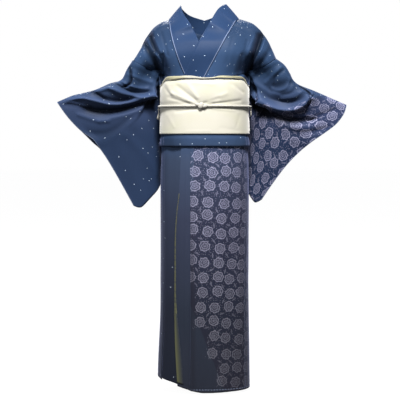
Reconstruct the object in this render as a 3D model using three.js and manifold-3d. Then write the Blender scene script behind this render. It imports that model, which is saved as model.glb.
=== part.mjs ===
// A houmongi kimono as it is worn: body panels, overlaps, collar, sleeves and the tied obi.
// Millimetres, +Z up, +X to the wearer's left, the front faces -Y. The origin is in the neck
// opening, level with the shoulders, where the wearer carries the garment.
import * as THREE from "three";
import { mergeVertices } from "three/addons/utils/BufferGeometryUtils.js";
import Module from "manifold-3d";

// ---------- driving dimensions ----------
const CLOTH = 1.6; // wall of the lined silk
const COLLAR_CLOTH = 2; // the collar is folded double
const OBI_CLOTH = 3; // stiff folded brocade
const SEAM_GAP = 0.4; // between pieces that are sewn together
const ARMHOLE_GAP = 0.6; // between the body and the sleeves, which widens under the arm
const COLLAR_GAP = 1.2; // between the body panels and the thicker collar
const HEM_Z = -1313; // hem in front, on the left and behind
const HEM_RISE = 46; // the hem is lifted this much at the wearer's right side
const HEM_RISE_LEFT = 5; // and this much at the left
const HEM_FLARE = 6; // the skirt stands out this much at the wearer's right side, at the hem
const SKIRT_TOP_Z = -399;
const GATHER = 2.4; // the skirt's top edge stands out by this much, against the tuck
const OBI_TOP_Z = -204;
const OBI_BOTTOM_Z = -397;
const CORD_Z = -299; // the obijime, the cord round the obi
const TUCK_BOTTOM_Z = -441; // lowest line of the ohashori, the tuck under the obi
const TUCK_TOP_Z = -406; // where the tuck's inner leg ends
const WAIST_Z = -246; // below this level the cloth follows the padded figure
const WAIST_SIDE_RISE = 38; // it does so this much higher at the sides, right under the sleeves
const OVERLAP_SEAM_X = -49; // seam of the left front to its overlap
const SIDE_SEAM_DEG = 68; // side seams of the skirt, from the middle of the front
const WAIST_SEAM_DEG = 86; // and under the arm
const UNDER_SEAM_DEG = 4; // seam of the right front to its overlap
const UNDER_EDGE_DEG = 58; // free edge of the right overlap
const TUCK_EDGE_DEG = -67.4; // where the left front's tuck ends, by the right side seam
const FIGURE_X = 2; // the figure's middle
const SQUARENESS = 2.35; // exponent of the figure's rounded sections

// How far each layer's outer face stands off the padded figure.
const LAYER = { under: 2.4, over: 6.6, bodyUnder: 2.4, bodyOver: 8.4, tuckInner: 11.4, tuckOuter: 13.6, obi: 15.8 };
const OBI_INNER = 12.7; // the obi's inner face, off the padded figure

// Sections of the padded figure from hem to bust.
const FIGURE = [
  { z: -1330, halfWidth: 158, front: 100, back: 98 },
  { z: -1100, halfWidth: 154.5, front: 104, back: 104 },
  { z: -850, halfWidth: 151, front: 109, back: 110 },
  { z: -600, halfWidth: 151, front: 114, back: 120 },
  { z: -440, halfWidth: 148, front: 113, back: 114 },
  { z: -390, halfWidth: 145, front: 113, back: 110 },
  { z: -200, halfWidth: 143, front: 112, back: 104 },
];

// Height of the shoulder fold, by distance from the middle of the shoulders.
const SHOULDER = [
  { x: 0, z: 20 },
  { x: 112, z: 17 },
  { x: 140, z: 11 },
  { x: 162, z: 4 },
  { x: 180, z: -9 },
  { x: 198, z: -27 },
  { x: 220, z: -59 },
  { x: 241, z: -101 },
  { x: 262, z: -140 },
];
const SHOULDER_MIDDLE_X = 12.5;

// The collar, from the middle of the back to the front of the waist. seam is its sewn edge, edge
// its free edge. Rows with no y lie on the chest.
const COLLAR_LEFT = [
  { at: 0, seamX: 2, seamY: 110, seamZ: -36, edgeX: 2, edgeY: 101, edgeZ: 18 },
  { at: 0.14, seamX: 70, seamY: 99, seamZ: -20, edgeX: 52, edgeY: 84, edgeZ: 36 },
  { at: 0.26, seamX: 112, seamY: 56, seamZ: 3, edgeX: 76, edgeY: 46, edgeZ: 59 },
  { at: 0.36, seamX: 123, seamY: 0, seamZ: 14, edgeX: 76, edgeY: 3, edgeZ: 66 },
  { at: 0.46, seamX: 108, seamY: -45, seamZ: -6, edgeX: 49, edgeY: -36, edgeZ: 45 },
  { at: 0.56, seamX: 88, seamZ: -42, edgeX: 18, edgeY: -76, edgeZ: -8 },
  { at: 0.67, seamX: 66, seamZ: -82, edgeX: -18, edgeZ: -74 },
  { at: 0.79, seamX: 36, seamZ: -136, edgeX: -47, edgeZ: -140 },
  { at: 0.92, seamX: 3, seamZ: -198, edgeX: -73, edgeZ: -198 },
  { at: 1, seamX: -14, seamZ: -236, edgeX: -88, edgeZ: -236 },
];
const COLLAR_RIGHT = [
  { at: 0, seamX: 2, seamY: 110, seamZ: -36, edgeX: 2, edgeY: 101, edgeZ: 18 },
  { at: 0.14, seamX: -66, seamY: 99, seamZ: -20, edgeX: -50, edgeY: 84, edgeZ: 34 },
  { at: 0.26, seamX: -110, seamY: 56, seamZ: 0, edgeX: -78, edgeY: 46, edgeZ: 54 },
  { at: 0.36, seamX: -124, seamY: 0, seamZ: 10, edgeX: -81, edgeY: 3, edgeZ: 61 },
  { at: 0.46, seamX: -123, seamY: -46, seamZ: -10, edgeX: -73, edgeY: -34, edgeZ: 30 },
  { at: 0.56, seamX: -118, seamZ: -45, edgeX: -45, edgeY: -76, edgeZ: -16 },
  { at: 0.67, seamX: -108, seamZ: -86, edgeX: -18, edgeZ: -74 },
  { at: 0.79, seamX: -90, seamZ: -140, edgeX: 16, edgeZ: -140 },
  { at: 0.92, seamX: -66, seamZ: -198, edgeX: 41, edgeZ: -198 },
  { at: 1, seamX: -53, seamZ: -236, edgeX: 41, edgeZ: -236 },
];
const COLLAR_LIFT = 0.5; // clear of the panels it is sewn to
const COLLAR_CROWN = 0.5; // the band is rounded out by this much between its edges

// The sleeves. ridge runs along the arm to the cuff, outer down from the cuff, inner from the
// shoulder down past the armhole, bottom from the body side outwards. at is the share of the way.
const SLEEVE_LEFT = {
  side: 1,
  ridge: [
    { at: 0, x: 259, y: 0, z: -128 },
    { at: 0.12, x: 288, y: 0, z: -150 },
    { at: 0.21, x: 306, y: 0, z: -177 },
    { at: 0.3, x: 319, y: 0, z: -203 },
    { at: 0.38, x: 339, y: 0, z: -220 },
    { at: 0.55, x: 392, y: 0, z: -241 },
    { at: 0.78, x: 455, y: 0, z: -268 },
    { at: 1, x: 511, y: 0, z: -292 },
  ],
  outer: [
    { at: 0, x: 511, y: 0, z: -292 },
    { at: 0.1, x: 499, y: 0, z: -327 },
    { at: 0.2, x: 468, y: 2, z: -366 },
    { at: 0.42, x: 371, y: 8, z: -437 },
    { at: 0.6, x: 306, y: 14, z: -500 },
    { at: 0.8, x: 249, y: 22, z: -574 },
    { at: 1, x: 193, y: 34, z: -658 },
  ],
  inner: [
    { at: 0, x: 259, y: 0, z: -128 },
    { at: 0.24, x: 210, y: 0, z: -160 },
    { at: 0.46, x: 159, y: 2, z: -176 },
    { at: 0.5, x: 175, y: 19, z: -197 },
    { at: 0.57, x: 163, y: 46, z: -234 },
    { at: 0.69, x: 154, y: 80, z: -300 },
    { at: 0.84, x: 153, y: 116, z: -390 },
    { at: 1, x: 155, y: 160, z: -492 },
  ],
  bottom: [
    { at: 0, x: 155, y: 160, z: -492 },
    { at: 0.35, x: 156, y: 108, z: -556 },
    { at: 0.7, x: 163, y: 62, z: -612 },
    { at: 1, x: 193, y: 34, z: -658 },
  ],
};
const SLEEVE_RIGHT = {
  side: -1,
  ridge: [
    { at: 0, x: -256, y: 0, z: -134 },
    { at: 0.12, x: -277, y: 0, z: -167 },
    { at: 0.24, x: -296, y: 0, z: -202 },
    { at: 0.37, x: -338, y: 0, z: -216 },
    { at: 0.54, x: -389, y: 0, z: -238 },
    { at: 0.67, x: -430, y: 0, z: -249 },
    { at: 0.82, x: -472, y: 0, z: -259 },
    { at: 1, x: -527, y: 0, z: -282 },
  ],
  outer: [
    { at: 0, x: -527, y: 0, z: -282 },
    { at: 0.2, x: -480, y: 0, z: -346 },
    { at: 0.4, x: -400, y: 2, z: -428 },
    { at: 0.47, x: -372, y: 4, z: -453 },
    { at: 0.65, x: -326, y: 10, z: -526 },
    { at: 1, x: -242, y: 26, z: -680 },
  ],
  inner: [
    { at: 0, x: -256, y: 0, z: -134 },
    { at: 0.24, x: -208, y: 0, z: -162 },
    { at: 0.46, x: -159, y: 2, z: -176 },
    { at: 0.5, x: -170, y: 19, z: -197 },
    { at: 0.57, x: -160, y: 46, z: -234 },
    { at: 0.69, x: -152, y: 80, z: -300 },
    { at: 0.84, x: -151, y: 116, z: -385 },
    { at: 1, x: -154, y: 156, z: -480 },
  ],
  bottom: [
    { at: 0, x: -154, y: 156, z: -480 },
    { at: 0.3, x: -156, y: 108, z: -546 },
    { at: 0.55, x: -166, y: 68, z: -594 },
    { at: 0.78, x: -197, y: 40, z: -632 },
    { at: 1, x: -242, y: 26, z: -680 },
  ],
};
const ARMHOLE = 0.46; // share of the sleeve's depth that is sewn to the body
const CUFF = 0.47; // share of the sleeve's depth that is left open for the hand
const SLEEVE_DEPTH = 480; // from shoulder fold to bottom fold
const SLEEVE_WIDTH = 320; // from armhole to cuff
const SLEEVE_CORNER = 26; // radius of the rounded outer corner
const ARM_FULL = { shoulder: 46, elbow: 40, cuff: 13 }; // half of the sleeve's fullness round the arm
const BAG_HALF = 6; // half of the bag's thickness where it hangs
const SEWN_HALF = 2; // and at its sewn outer edge

// Folds. Sleeves: along a line of points (s, t), s along the arm and t down.
// rise is out (+) or in (-), in mm, half is the half width in mm.
const FOLDS_SLEEVE_RIGHT = [
  {
    line: [[0.75, 0.196], [0.69, 0.242], [0.5, 0.338], [0.375, 0.412], [0.08, 0.58]],
    rise: -15, half: 17,
  },
  { line: [[0.88, 0.02], [0.72, 0.083], [0.53, 0.26], [0.42, 0.333], [0.2, 0.49]], rise: 11, half: 14 },
  { line: [[0.58, 0.02], [0.55, 0.15], [0.48, 0.242], [0.38, 0.31]], rise: -9, half: 11 },
  { line: [[0.52, 0.03], [0.41, 0.1], [0.37, 0.22], [0.27, 0.41], [0.1, 0.54]], rise: 7, half: 13 },
  { line: [[0.06, 0], [0.13, 0.09], [0.2, 0.146], [0.27, 0.142]], rise: -9, half: 10 },
  { line: [[0.96, 0.33], [0.85, 0.405], [0.6, 0.435], [0.35, 0.5]], rise: -6, half: 22 },
  { line: [[0.5, 0.5], [0.35, 1]], rise: 5, half: 44 },
];
const FOLDS_SLEEVE_LEFT = [
  {
    line: [[0.16, 0.535], [0.37, 0.433], [0.485, 0.371], [0.55, 0.308], [0.575, 0.24], [0.57, 0.11]],
    rise: 16, half: 16,
  },
  {
    line: [[0.12, 0.49], [0.255, 0.417], [0.36, 0.325], [0.455, 0.237], [0.5, 0.167], [0.52, 0.09]],
    rise: -10, half: 12,
  },
  { line: [[0.05, 0.62], [0.33, 0.515], [0.53, 0.433], [0.64, 0.362], [0.73, 0.28]], rise: -16, half: 15 },
  { line: [[0.4, 0.02], [0.5, 0.05], [0.57, 0.1], [0.6, 0.16]], rise: -8, half: 9 },
  { line: [[0.3, 0.04], [0.25, 0.2], [0.24, 0.32]], rise: -6, half: 13 },
  { line: [[0.84, 0.27], [0.8, 0.325], [0.69, 0.438], [0.495, 0.517], [0.25, 0.585]], rise: 7, half: 14 },
];
// Body: from (x0, z0) to (x1, z1) on the front or the back.
const FOLDS_BODY = [
  { face: -1, x0: -222, z0: -50, x1: -146, z1: -205, rise: -12, half: 12 },
  { face: -1, x0: -190, z0: -40, x1: -132, z1: -190, rise: -7, half: 9 },
  { face: -1, x0: -168, z0: -120, x1: -112, z1: -215, rise: 6, half: 9 },
  { face: -1, x0: 196, z0: -50, x1: 152, z1: -205, rise: -12, half: 12 },
  { face: -1, x0: 236, z0: -90, x1: 176, z1: -200, rise: -6, half: 10 },
  { face: 1, x0: -214, z0: -60, x1: -150, z1: -205, rise: -10, half: 14 },
  { face: 1, x0: 214, z0: -60, x1: 150, z1: -205, rise: -10, half: 14 },
];
// Skirt: soft vertical folds, by the angle from the middle of the front at the top and the hem.
const FOLDS_SKIRT = [
  { top: -12, hem: -24, rise: 3.2, half: 3.4 },
  { top: -22, hem: -30, rise: -1.6, half: 3.4 },
  { top: -58, hem: -66, rise: 3, half: 6 },
  { top: 40, hem: 46, rise: -2, half: 7 },
  { top: 128, hem: 120, rise: 3, half: 8 },
  { top: -132, hem: -124, rise: 3, half: 8 },
  { top: 160, hem: 156, rise: -2.5, half: 6 },
  { top: -156, hem: -160, rise: -2.5, half: 6 },
];

// The free edge of the left overlap, which swings out below the hip and back at the hem.
const OVERLAP_EDGE = [
  { z: -399, x: -80 },
  { z: -610, x: -89 },
  { z: -680, x: -97 },
  { z: -768, x: -102.6 },
  { z: -873, x: -104 },
  { z: -1048, x: -104.5 },
  { z: -1153, x: -102 },
  { z: -1223, x: -98 },
  { z: -1330, x: -91 },
];

// ---------- helpers ----------
const mix = (a, b, t) => a + (b - a) * t;
const clamp01 = (t) => Math.min(1, Math.max(0, t));
const ease = (from, to, v) => {
  const t = clamp01((v - from) / (to - from));
  return t * t * (3 - 2 * t);
};
const radians = (deg) => (deg * Math.PI) / 180;
const vec = (x, y, z) => new THREE.Vector3(x, y, z);

// A smooth line through one column of a table, by the values of its key column.
function along(table, key, column, value) {
  const up = table[0][key] < table[table.length - 1][key];
  const rows = up ? table : [...table].reverse();
  const last = rows.length - 1;
  let i = 0;
  while (i < last - 1 && value > rows[i + 1][key]) i += 1;
  const slope = (k) => {
    const a = rows[Math.max(0, k - 1)];
    const b = rows[Math.min(last, k + 1)];
    return (b[column] - a[column]) / (b[key] - a[key]);
  };
  const [a, b] = [rows[i], rows[i + 1]];
  const h = b[key] - a[key];
  const t = clamp01((value - a[key]) / h);
  const [t2, t3] = [t * t, t * t * t];
  return (
    a[column] * (2 * t3 - 3 * t2 + 1) +
    b[column] * (3 * t2 - 2 * t3) +
    h * (slope(i) * (t3 - 2 * t2 + t) + slope(i + 1) * (t3 - t2))
  );
}
const pointAlong = (table, at) =>
  vec(along(table, "at", "x", at), along(table, "at", "y", at), along(table, "at", "z", at));

// Height of a soft fold at a distance from its line.
const foldShape = (distance, half) => Math.exp(-((distance / half) ** 2));

// A closed wall on a grid of points. rows[i][j] is the outer face, and the inner face lies
// thickness further in along the normals. ring joins the last column to the first. side is 1 when
// the way down the rows, then across them, turns to the right seen from outside.
function wall(rows, thickness, side, ring = false) {
  const [m, n] = [rows.length, rows[0].length];
  const at = (i, j) => rows[i][ring ? (j + n) % n : Math.min(n - 1, Math.max(0, j))];
  const inner = rows.map((row, i) =>
    row.map((p, j) => {
      const down = at(Math.min(m - 1, i + 1), j).clone().sub(at(Math.max(0, i - 1), j));
      const across = at(i, j + 1).clone().sub(at(i, j - 1));
      return p.clone().addScaledVector(down.cross(across).normalize(), -side * thickness);
    }),
  );
  return shell(rows, inner, ring);
}

// The closed solid between two grids of points of the same size.
function shell(outer, inner, ring = false) {
  const [m, n] = [outer.length, outer[0].length];
  const points = [...outer.flat(), ...inner.flat()];
  const id = (layer, i, j) => layer * m * n + i * n + (j % n);
  const faces = [];
  const quad = (a, b, c, d) => faces.push(a, b, c, a, c, d);
  const columns = ring ? n : n - 1;
  for (let i = 0; i < m - 1; i += 1)
    for (let j = 0; j < columns; j += 1) {
      quad(id(0, i, j), id(0, i + 1, j), id(0, i + 1, j + 1), id(0, i, j + 1));
      quad(id(1, i, j), id(1, i, j + 1), id(1, i + 1, j + 1), id(1, i + 1, j));
    }
  for (let j = 0; j < columns; j += 1) {
    quad(id(0, 0, j), id(0, 0, j + 1), id(1, 0, j + 1), id(1, 0, j));
    quad(id(0, m - 1, j), id(1, m - 1, j), id(1, m - 1, j + 1), id(0, m - 1, j + 1));
  }
  if (!ring)
    for (let i = 0; i < m - 1; i += 1) {
      quad(id(0, i, 0), id(1, i, 0), id(1, i + 1, 0), id(0, i + 1, 0));
      quad(id(0, i, n - 1), id(0, i + 1, n - 1), id(1, i + 1, n - 1), id(1, i, n - 1));
    }
  return closed(points, faces);
}

// A geometry whose faces point out, from points and triangles.
function closed(points, faces) {
  let volume = 0;
  for (let i = 0; i < faces.length; i += 3)
    volume += points[faces[i]].dot(points[faces[i + 1]].clone().cross(points[faces[i + 2]]));
  if (volume < 0) faces.reverse();
  const geometry = new THREE.BufferGeometry().setFromPoints(points);
  geometry.setIndex(faces);
  return geometry;
}

const steps = (count) => Array.from({ length: count + 1 }, (_, i) => i / count);
const gridOf = (us, vs, point) => us.map((u) => vs.map((v) => point(u, v)));

// ---------- the padded figure and the skirt ----------
function figurePoint(deg, z, out) {
  const a = radians(deg);
  const halfWidth = along(FIGURE, "z", "halfWidth", z) + out;
  const depth = along(FIGURE, "z", Math.cos(a) > 0 ? "front" : "back", z) + out;
  const across = Math.abs(Math.sin(a)) / halfWidth;
  const r = (across ** SQUARENESS + (Math.abs(Math.cos(a)) / depth) ** SQUARENESS) ** (-1 / SQUARENESS);
  return vec(FIGURE_X + r * Math.sin(a), -r * Math.cos(a), z);
}

// The angle at which the figure's front has a given x.
function angleOf(x, z, out) {
  let [low, high] = [-90, 90];
  for (let i = 0; i < 24; i += 1) {
    const middle = (low + high) / 2;
    if (figurePoint(middle, z, out).x < x) low = middle;
    else high = middle;
  }
  return low;
}

const turned = (deg) => ((((deg + 180) % 360) + 360) % 360) - 180;
function hemZ(deg) {
  const side = Math.sin(radians(deg));
  return HEM_Z + side * side * (side < 0 ? HEM_RISE : HEM_RISE_LEFT);
}

function hemFlare(deg, v) {
  return HEM_FLARE * Math.max(0, -Math.sin(radians(deg))) ** 2 * ease(0.72, 1, v);
}

function skirtFolds(deg, v) {
  const grow = ease(0.04, 0.4, v);
  return FOLDS_SKIRT.reduce((sum, f) => {
    const centre = mix(f.top, f.hem, v);
    return sum + grow * f.rise * foldShape(turned(deg - centre), f.half);
  }, 0);
}

// Rows of the skirt, by share of its height: closer together at the top, under the tuck.
const SKIRT_ROWS = [0, 0.012, 0.024, 0.046, 0.08, 0.14, 0.22, 0.31, 0.4, 0.5, 0.6, 0.7, 0.8, 0.9, 1];

// A skirt panel between two angles, each a number or a function of z. out is its layer.
function skirtPanel(fromDeg, toDeg, out, columns, { short = 0, folds = 1 } = {}) {
  const edge = (deg, z) => (typeof deg === "function" ? deg(z) : deg);
  const face = (depth) =>
    gridOf(SKIRT_ROWS, steps(columns), (v, u) => {
      const roughZ = mix(SKIRT_TOP_Z, HEM_Z, v);
      const deg = mix(edge(fromDeg, roughZ), edge(toDeg, roughZ), u);
      const z = mix(SKIRT_TOP_Z, hemZ(deg) + short, v);
      const gathered = GATHER * (1 - ease(0, 0.035, v));
      const layer = gathered + (typeof out === "function" ? out(deg) : out);
      return figurePoint(deg, z, layer - depth + hemFlare(deg, v) + folds * skirtFolds(deg, v));
    });
  return shell(face(0), face(CLOTH));
}

const gapDeg = SEAM_GAP / 2.4; // the seam gap as an angle, near enough all round
const overlapSeamDeg = (z) => angleOf(OVERLAP_SEAM_X, z, LAYER.over);
const overlapEdgeDeg = (z) => angleOf(along(OVERLAP_EDGE, "z", "x", z), z, LAYER.over);
// The right front comes from the side seam, level with the back, and dives under the left front.
const underOut = (deg) => mix(LAYER.over, LAYER.under, ease(-SIDE_SEAM_DEG + 2, -SIDE_SEAM_DEG + 18, deg));

const skirt = {
  skirt_front_left: () =>
    skirtPanel((z) => overlapSeamDeg(z) + gapDeg, SIDE_SEAM_DEG - gapDeg, LAYER.over, 12),
  overlap_left: () => skirtPanel(overlapEdgeDeg, overlapSeamDeg, LAYER.over, 5),
  skirt_front_right: () =>
    skirtPanel(-SIDE_SEAM_DEG + gapDeg, UNDER_SEAM_DEG - gapDeg, underOut, 10, { short: 5, folds: 0.3 }),
  overlap_right: () => skirtPanel(UNDER_SEAM_DEG, UNDER_EDGE_DEG, LAYER.under, 6, { short: 5, folds: 0.3 }),
  skirt_back_left: () => skirtPanel(SIDE_SEAM_DEG, 180 - gapDeg, LAYER.over, 11),
  skirt_back_right: () => skirtPanel(-180 + gapDeg, -SIDE_SEAM_DEG, LAYER.over, 11),
};

// The lining turned out along the overlap's free edge, wider towards the hem.
const LINING_EDGE = [
  { v: 0.23, width: 3 },
  { v: 0.52, width: 5 },
  { v: 0.63, width: 5.5 },
  { v: 0.71, width: 9 },
  { v: 0.825, width: 16 },
  { v: 0.9, width: 19 },
  { v: 1, width: 20 },
];
const LINING_CLOTH = 1;
const LINING_LIFT = 0.7; // off the overlap's own outer face
function liningEdge() {
  const face = (out) =>
    gridOf(steps(16), steps(2), (r, u) => {
      const v = mix(LINING_EDGE[0].v, 0.985, r);
      const z = mix(SKIRT_TOP_Z, HEM_Z, v);
      const deg = overlapEdgeDeg(z) + mix(0.3, along(LINING_EDGE, "v", "width", v) / 2.1, u);
      const off = LAYER.over + hemFlare(deg, v) + skirtFolds(deg, v) + out;
      return figurePoint(deg, mix(SKIRT_TOP_Z, hemZ(deg), v), off);
    });
  return shell(face(LINING_LIFT + LINING_CLOTH), face(LINING_LIFT));
}

// ---------- sleeves ----------
// The middle of the sleeve, between its front and back layers, as a patch on its four edges.
function sleeveMiddle(sleeve, s, t) {
  const [ridge, outer] = [pointAlong(sleeve.ridge, s), pointAlong(sleeve.outer, t)];
  const [inner, bottom] = [pointAlong(sleeve.inner, t), pointAlong(sleeve.bottom, s)];
  const corner = (table, at, weight) => pointAlong(table, at).multiplyScalar(-weight);
  return inner
    .multiplyScalar(1 - s)
    .addScaledVector(outer, s)
    .addScaledVector(ridge, 1 - t)
    .addScaledVector(bottom, t)
    .add(corner(sleeve.ridge, 0, (1 - s) * (1 - t)))
    .add(corner(sleeve.ridge, 1, s * (1 - t)))
    .add(corner(sleeve.bottom, 0, (1 - s) * t))
    .add(corner(sleeve.bottom, 1, s * t));
}

// Half of the distance between the two layers: round over the arm, thin in the hanging bag.
function sleeveHalf(s, t) {
  const down = t * SLEEVE_DEPTH;
  const full = s < 0.35 ? mix(ARM_FULL.shoulder, ARM_FULL.elbow, s / 0.35) : mix(ARM_FULL.elbow, ARM_FULL.cuff, ease(0.35, 1, s));
  const rounded = Math.sqrt(1 - (1 - clamp01(down / full)) ** 2);
  const bag = mix(BAG_HALF, SEWN_HALF, ease(0.82, 1, s) * ease(CUFF - 0.06, CUFF + 0.02, t));
  const thin = mix(full, bag, ease(full * 1.3, full * 1.3 + 130, down));
  const fold = Math.sqrt(clamp01((1 - t) * SLEEVE_DEPTH / bag));
  return rounded * mix(SEWN_HALF * 0.5, thin, clamp01(fold));
}

// Distance in the sleeve's own plane from (s, t) to a fold's line.
function foldDistance(line, s, t) {
  let nearest = Infinity;
  for (let i = 1; i < line.length; i += 1) {
    const [s0, t0] = line[i - 1];
    const [s1, t1] = line[i];
    const run = vec((s1 - s0) * SLEEVE_WIDTH, (t1 - t0) * SLEEVE_DEPTH, 0);
    const here = vec((s - s0) * SLEEVE_WIDTH, (t - t0) * SLEEVE_DEPTH, 0);
    const share = clamp01(here.dot(run) / run.lengthSq());
    nearest = Math.min(nearest, here.addScaledVector(run, -share).length());
  }
  return nearest;
}

function sleeveFolds(folds, s, t) {
  const fade = ease(0, 0.06, s) * (1 - ease(0.93, 1, s));
  return fade * folds.reduce((sum, f) => sum + f.rise * foldShape(foldDistance(f.line, s, t), f.half), 0);
}

// A point of the sleeve. face is -1 for the front layer and 1 for the back.
function sleevePoint(sleeve, folds, s, t, face) {
  const e = 0.01;
  const rounding = SLEEVE_CORNER * (1 - Math.sqrt(1 - ease(1 - SLEEVE_CORNER / SLEEVE_WIDTH * 1.6, 1, s) ** 2));
  const depth = t * (1 - (rounding / SLEEVE_DEPTH) * t);
  const p = sleeveMiddle(sleeve, s, depth);
  const ds = sleeveMiddle(sleeve, Math.min(1, s + e), depth).sub(sleeveMiddle(sleeve, Math.max(0, s - e), depth));
  const dt = sleeveMiddle(sleeve, s, Math.min(1, depth + e)).sub(sleeveMiddle(sleeve, s, Math.max(0, depth - e)));
  const normal = ds.cross(dt).normalize();
  if (normal.y > 0) normal.negate();
  const half = sleeveHalf(s, t);
  const fold = ease(0, 0.08, t) * (1 - ease(0.9, 1, t)) * sleeveFolds(folds, s, t);
  // In the thin bag both layers fold together; round the arm the back stays full.
  const follow = Math.min(0.88, Math.max(0.15, 1 - (half - BAG_HALF) / 40));
  return p.addScaledVector(normal, -face * (half + fold * (face < 0 ? 1 : -follow)));
}

const SLEEVE_ROWS = 15; // down each layer; the first ARM_ROWS of them are sewn to the body
const ARM_ROWS = 7;
const sleeveT = (i) =>
  i <= ARM_ROWS
    ? ARMHOLE * (i / ARM_ROWS) ** 1.5
    : 1 - (1 - ARMHOLE) * ((SLEEVE_ROWS - i) / (SLEEVE_ROWS - ARM_ROWS)) ** 1.15;

// Rows run from the armhole to the cuff, columns round the sleeve.
function sleeveGrid(sleeve, folds) {
  const layer = steps(SLEEVE_ROWS).map((_, i) => i);
  const round = [...layer.map((i) => [i, -1]), ...layer.slice(1, -1).reverse().map((i) => [i, 1])];
  return steps(13).map((u) => {
    const s = u ** 0.95;
    return round.map(([i, face]) => sleevePoint(sleeve, folds, s, sleeveT(i), face));
  });
}

// ---------- body panels ----------
const SLEEVES = {
  left: { table: SLEEVE_LEFT, folds: FOLDS_SLEEVE_LEFT, collar: COLLAR_LEFT, sign: 1 },
  right: { table: SLEEVE_RIGHT, folds: FOLDS_SLEEVE_RIGHT, collar: COLLAR_RIGHT, sign: -1 },
};

// How far the upper body stands forward (face -1) or back (face 1) of the shoulder fold. At the
// waist it has become the padded figure.
function chestY(x, z, face) {
  const wide = Math.abs(x - SHOULDER_MIDDLE_X * ease(-200, -60, z));
  const drop = Math.max(0, along(SHOULDER, "x", "z", wide) - z);
  const middle = face < 0 ? 117 : 108;
  const reach = mix(150, 46, ease(120, 250, wide));
  const full = mix(middle, 44, ease(70, 235, wide));
  const power = mix(0.66, 0.5, ease(100, 230, wide));
  const chest = full * (1 - (1 - clamp01(drop / reach)) ** 2) ** power;
  const across = Math.min(1, Math.abs(x - FIGURE_X) / along(FIGURE, "z", "halfWidth", z));
  const depth = along(FIGURE, "z", face < 0 ? "front" : "back", z);
  const waist = depth * (1 - across ** SQUARENESS) ** (1 / SQUARENESS);
  return face * mix(chest, waist, ease(-100, -205, z));
}

function bodyFolds(x, z, face) {
  return FOLDS_BODY.filter((f) => f.face === face).reduce((sum, f) => {
    const [rx, rz] = [f.x1 - f.x0, f.z1 - f.z0];
    const share = clamp01(((x - f.x0) * rx + (z - f.z0) * rz) / (rx * rx + rz * rz));
    const off = Math.hypot(x - f.x0 - share * rx, z - f.z0 - share * rz);
    return sum + f.rise * foldShape(off, f.half);
  }, 0);
}

// The collar's sewn edge or free edge, as a point on the body. at runs from back to front.
function collarLine(side, at, which) {
  const { collar } = SLEEVES[side];
  const x = along(collar, "at", which + "X", at);
  const z = along(collar, "at", which + "Z", at);
  const onChest = chestY(x, z, -1) - (side === "left" ? LAYER.bodyOver : LAYER.bodyUnder) * ease(-20, -80, z);
  const rows = collar.filter((r) => r[which + "Y"] !== undefined);
  const lastAt = rows[rows.length - 1].at;
  const nextAt = collar[rows.length].at;
  const free = along(rows, "at", which + "Y", Math.min(at, lastAt));
  return vec(x, mix(free, onChest, ease(lastAt, nextAt, at)), z);
}

const NECK_AT = 0.36; // where the collar's seam crosses the shoulder fold
const BACK_NECK = 4 / 7; // share of the back's rows that follow the neckline
// The inner edge of a body panel: k is 0 on the shoulder and 1 at the waist.
function innerEdge(side, k, face) {
  if (face < 0) return collarLine(side, mix(NECK_AT, 1, k), "seam");
  if (k < BACK_NECK) return collarLine(side, NECK_AT * (1 - k / BACK_NECK), "seam");
  const neck = collarLine(side, 0, "seam");
  const v = (k - BACK_NECK) / (1 - BACK_NECK);
  const z = mix(neck.z, WAIST_Z + 30, v);
  return vec(0, mix(neck.y, chestY(0, z, 1) + LAYER.bodyOver, ease(0, 0.7, v)), z);
}

// A point of the upper body: s is 0 at the collar or the middle of the back, 1 at the armhole.
function upperPoint(side, s, k, face) {
  const { table, folds, sign } = SLEEVES[side];
  const i = k * ARM_ROWS;
  const t = ARMHOLE * (i / ARM_ROWS) ** 1.5;
  const gap = face > 0 && k > BACK_NECK ? SEAM_GAP / 2 : COLLAR_GAP;
  const inner = innerEdge(side, k, face).add(vec(sign * gap, 0, 0));
  const armhole = sleevePoint(table, folds, 0, t, face).add(vec(-sign * mix(ARMHOLE_GAP, 9, ease(0.72, 1, k)), 0, 0.2));
  const x = mix(inner.x, armhole.x, s);
  const shoulder = (px) => along(SHOULDER, "x", "z", Math.abs(px - SHOULDER_MIDDLE_X));
  const drop = mix(shoulder(inner.x) - inner.z, shoulder(armhole.x) - armhole.z, s);
  const z = mix(shoulder(x) - drop, mix(inner.z, armhole.z, s), k);
  const out = side === "left" ? LAYER.bodyOver : LAYER.bodyUnder;
  const layered = (px, pz) => chestY(px, pz, face) + face * out * ease(0, -80, pz) * (1 - ease(60, 190, Math.abs(px)));
  const y = layered(x, z);
  const fixInner = (1 - s) ** 2 * (inner.y - layered(inner.x, inner.z));
  const fixOuter = s ** 2 * (armhole.y - layered(armhole.x, armhole.z));
  const crease = bodyFolds(x, z, face) * (1 - ease(0.9, 1, s)) * ease(0, 0.1, s);
  return vec(x, y + fixInner + fixOuter + face * crease, z);
}

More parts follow.
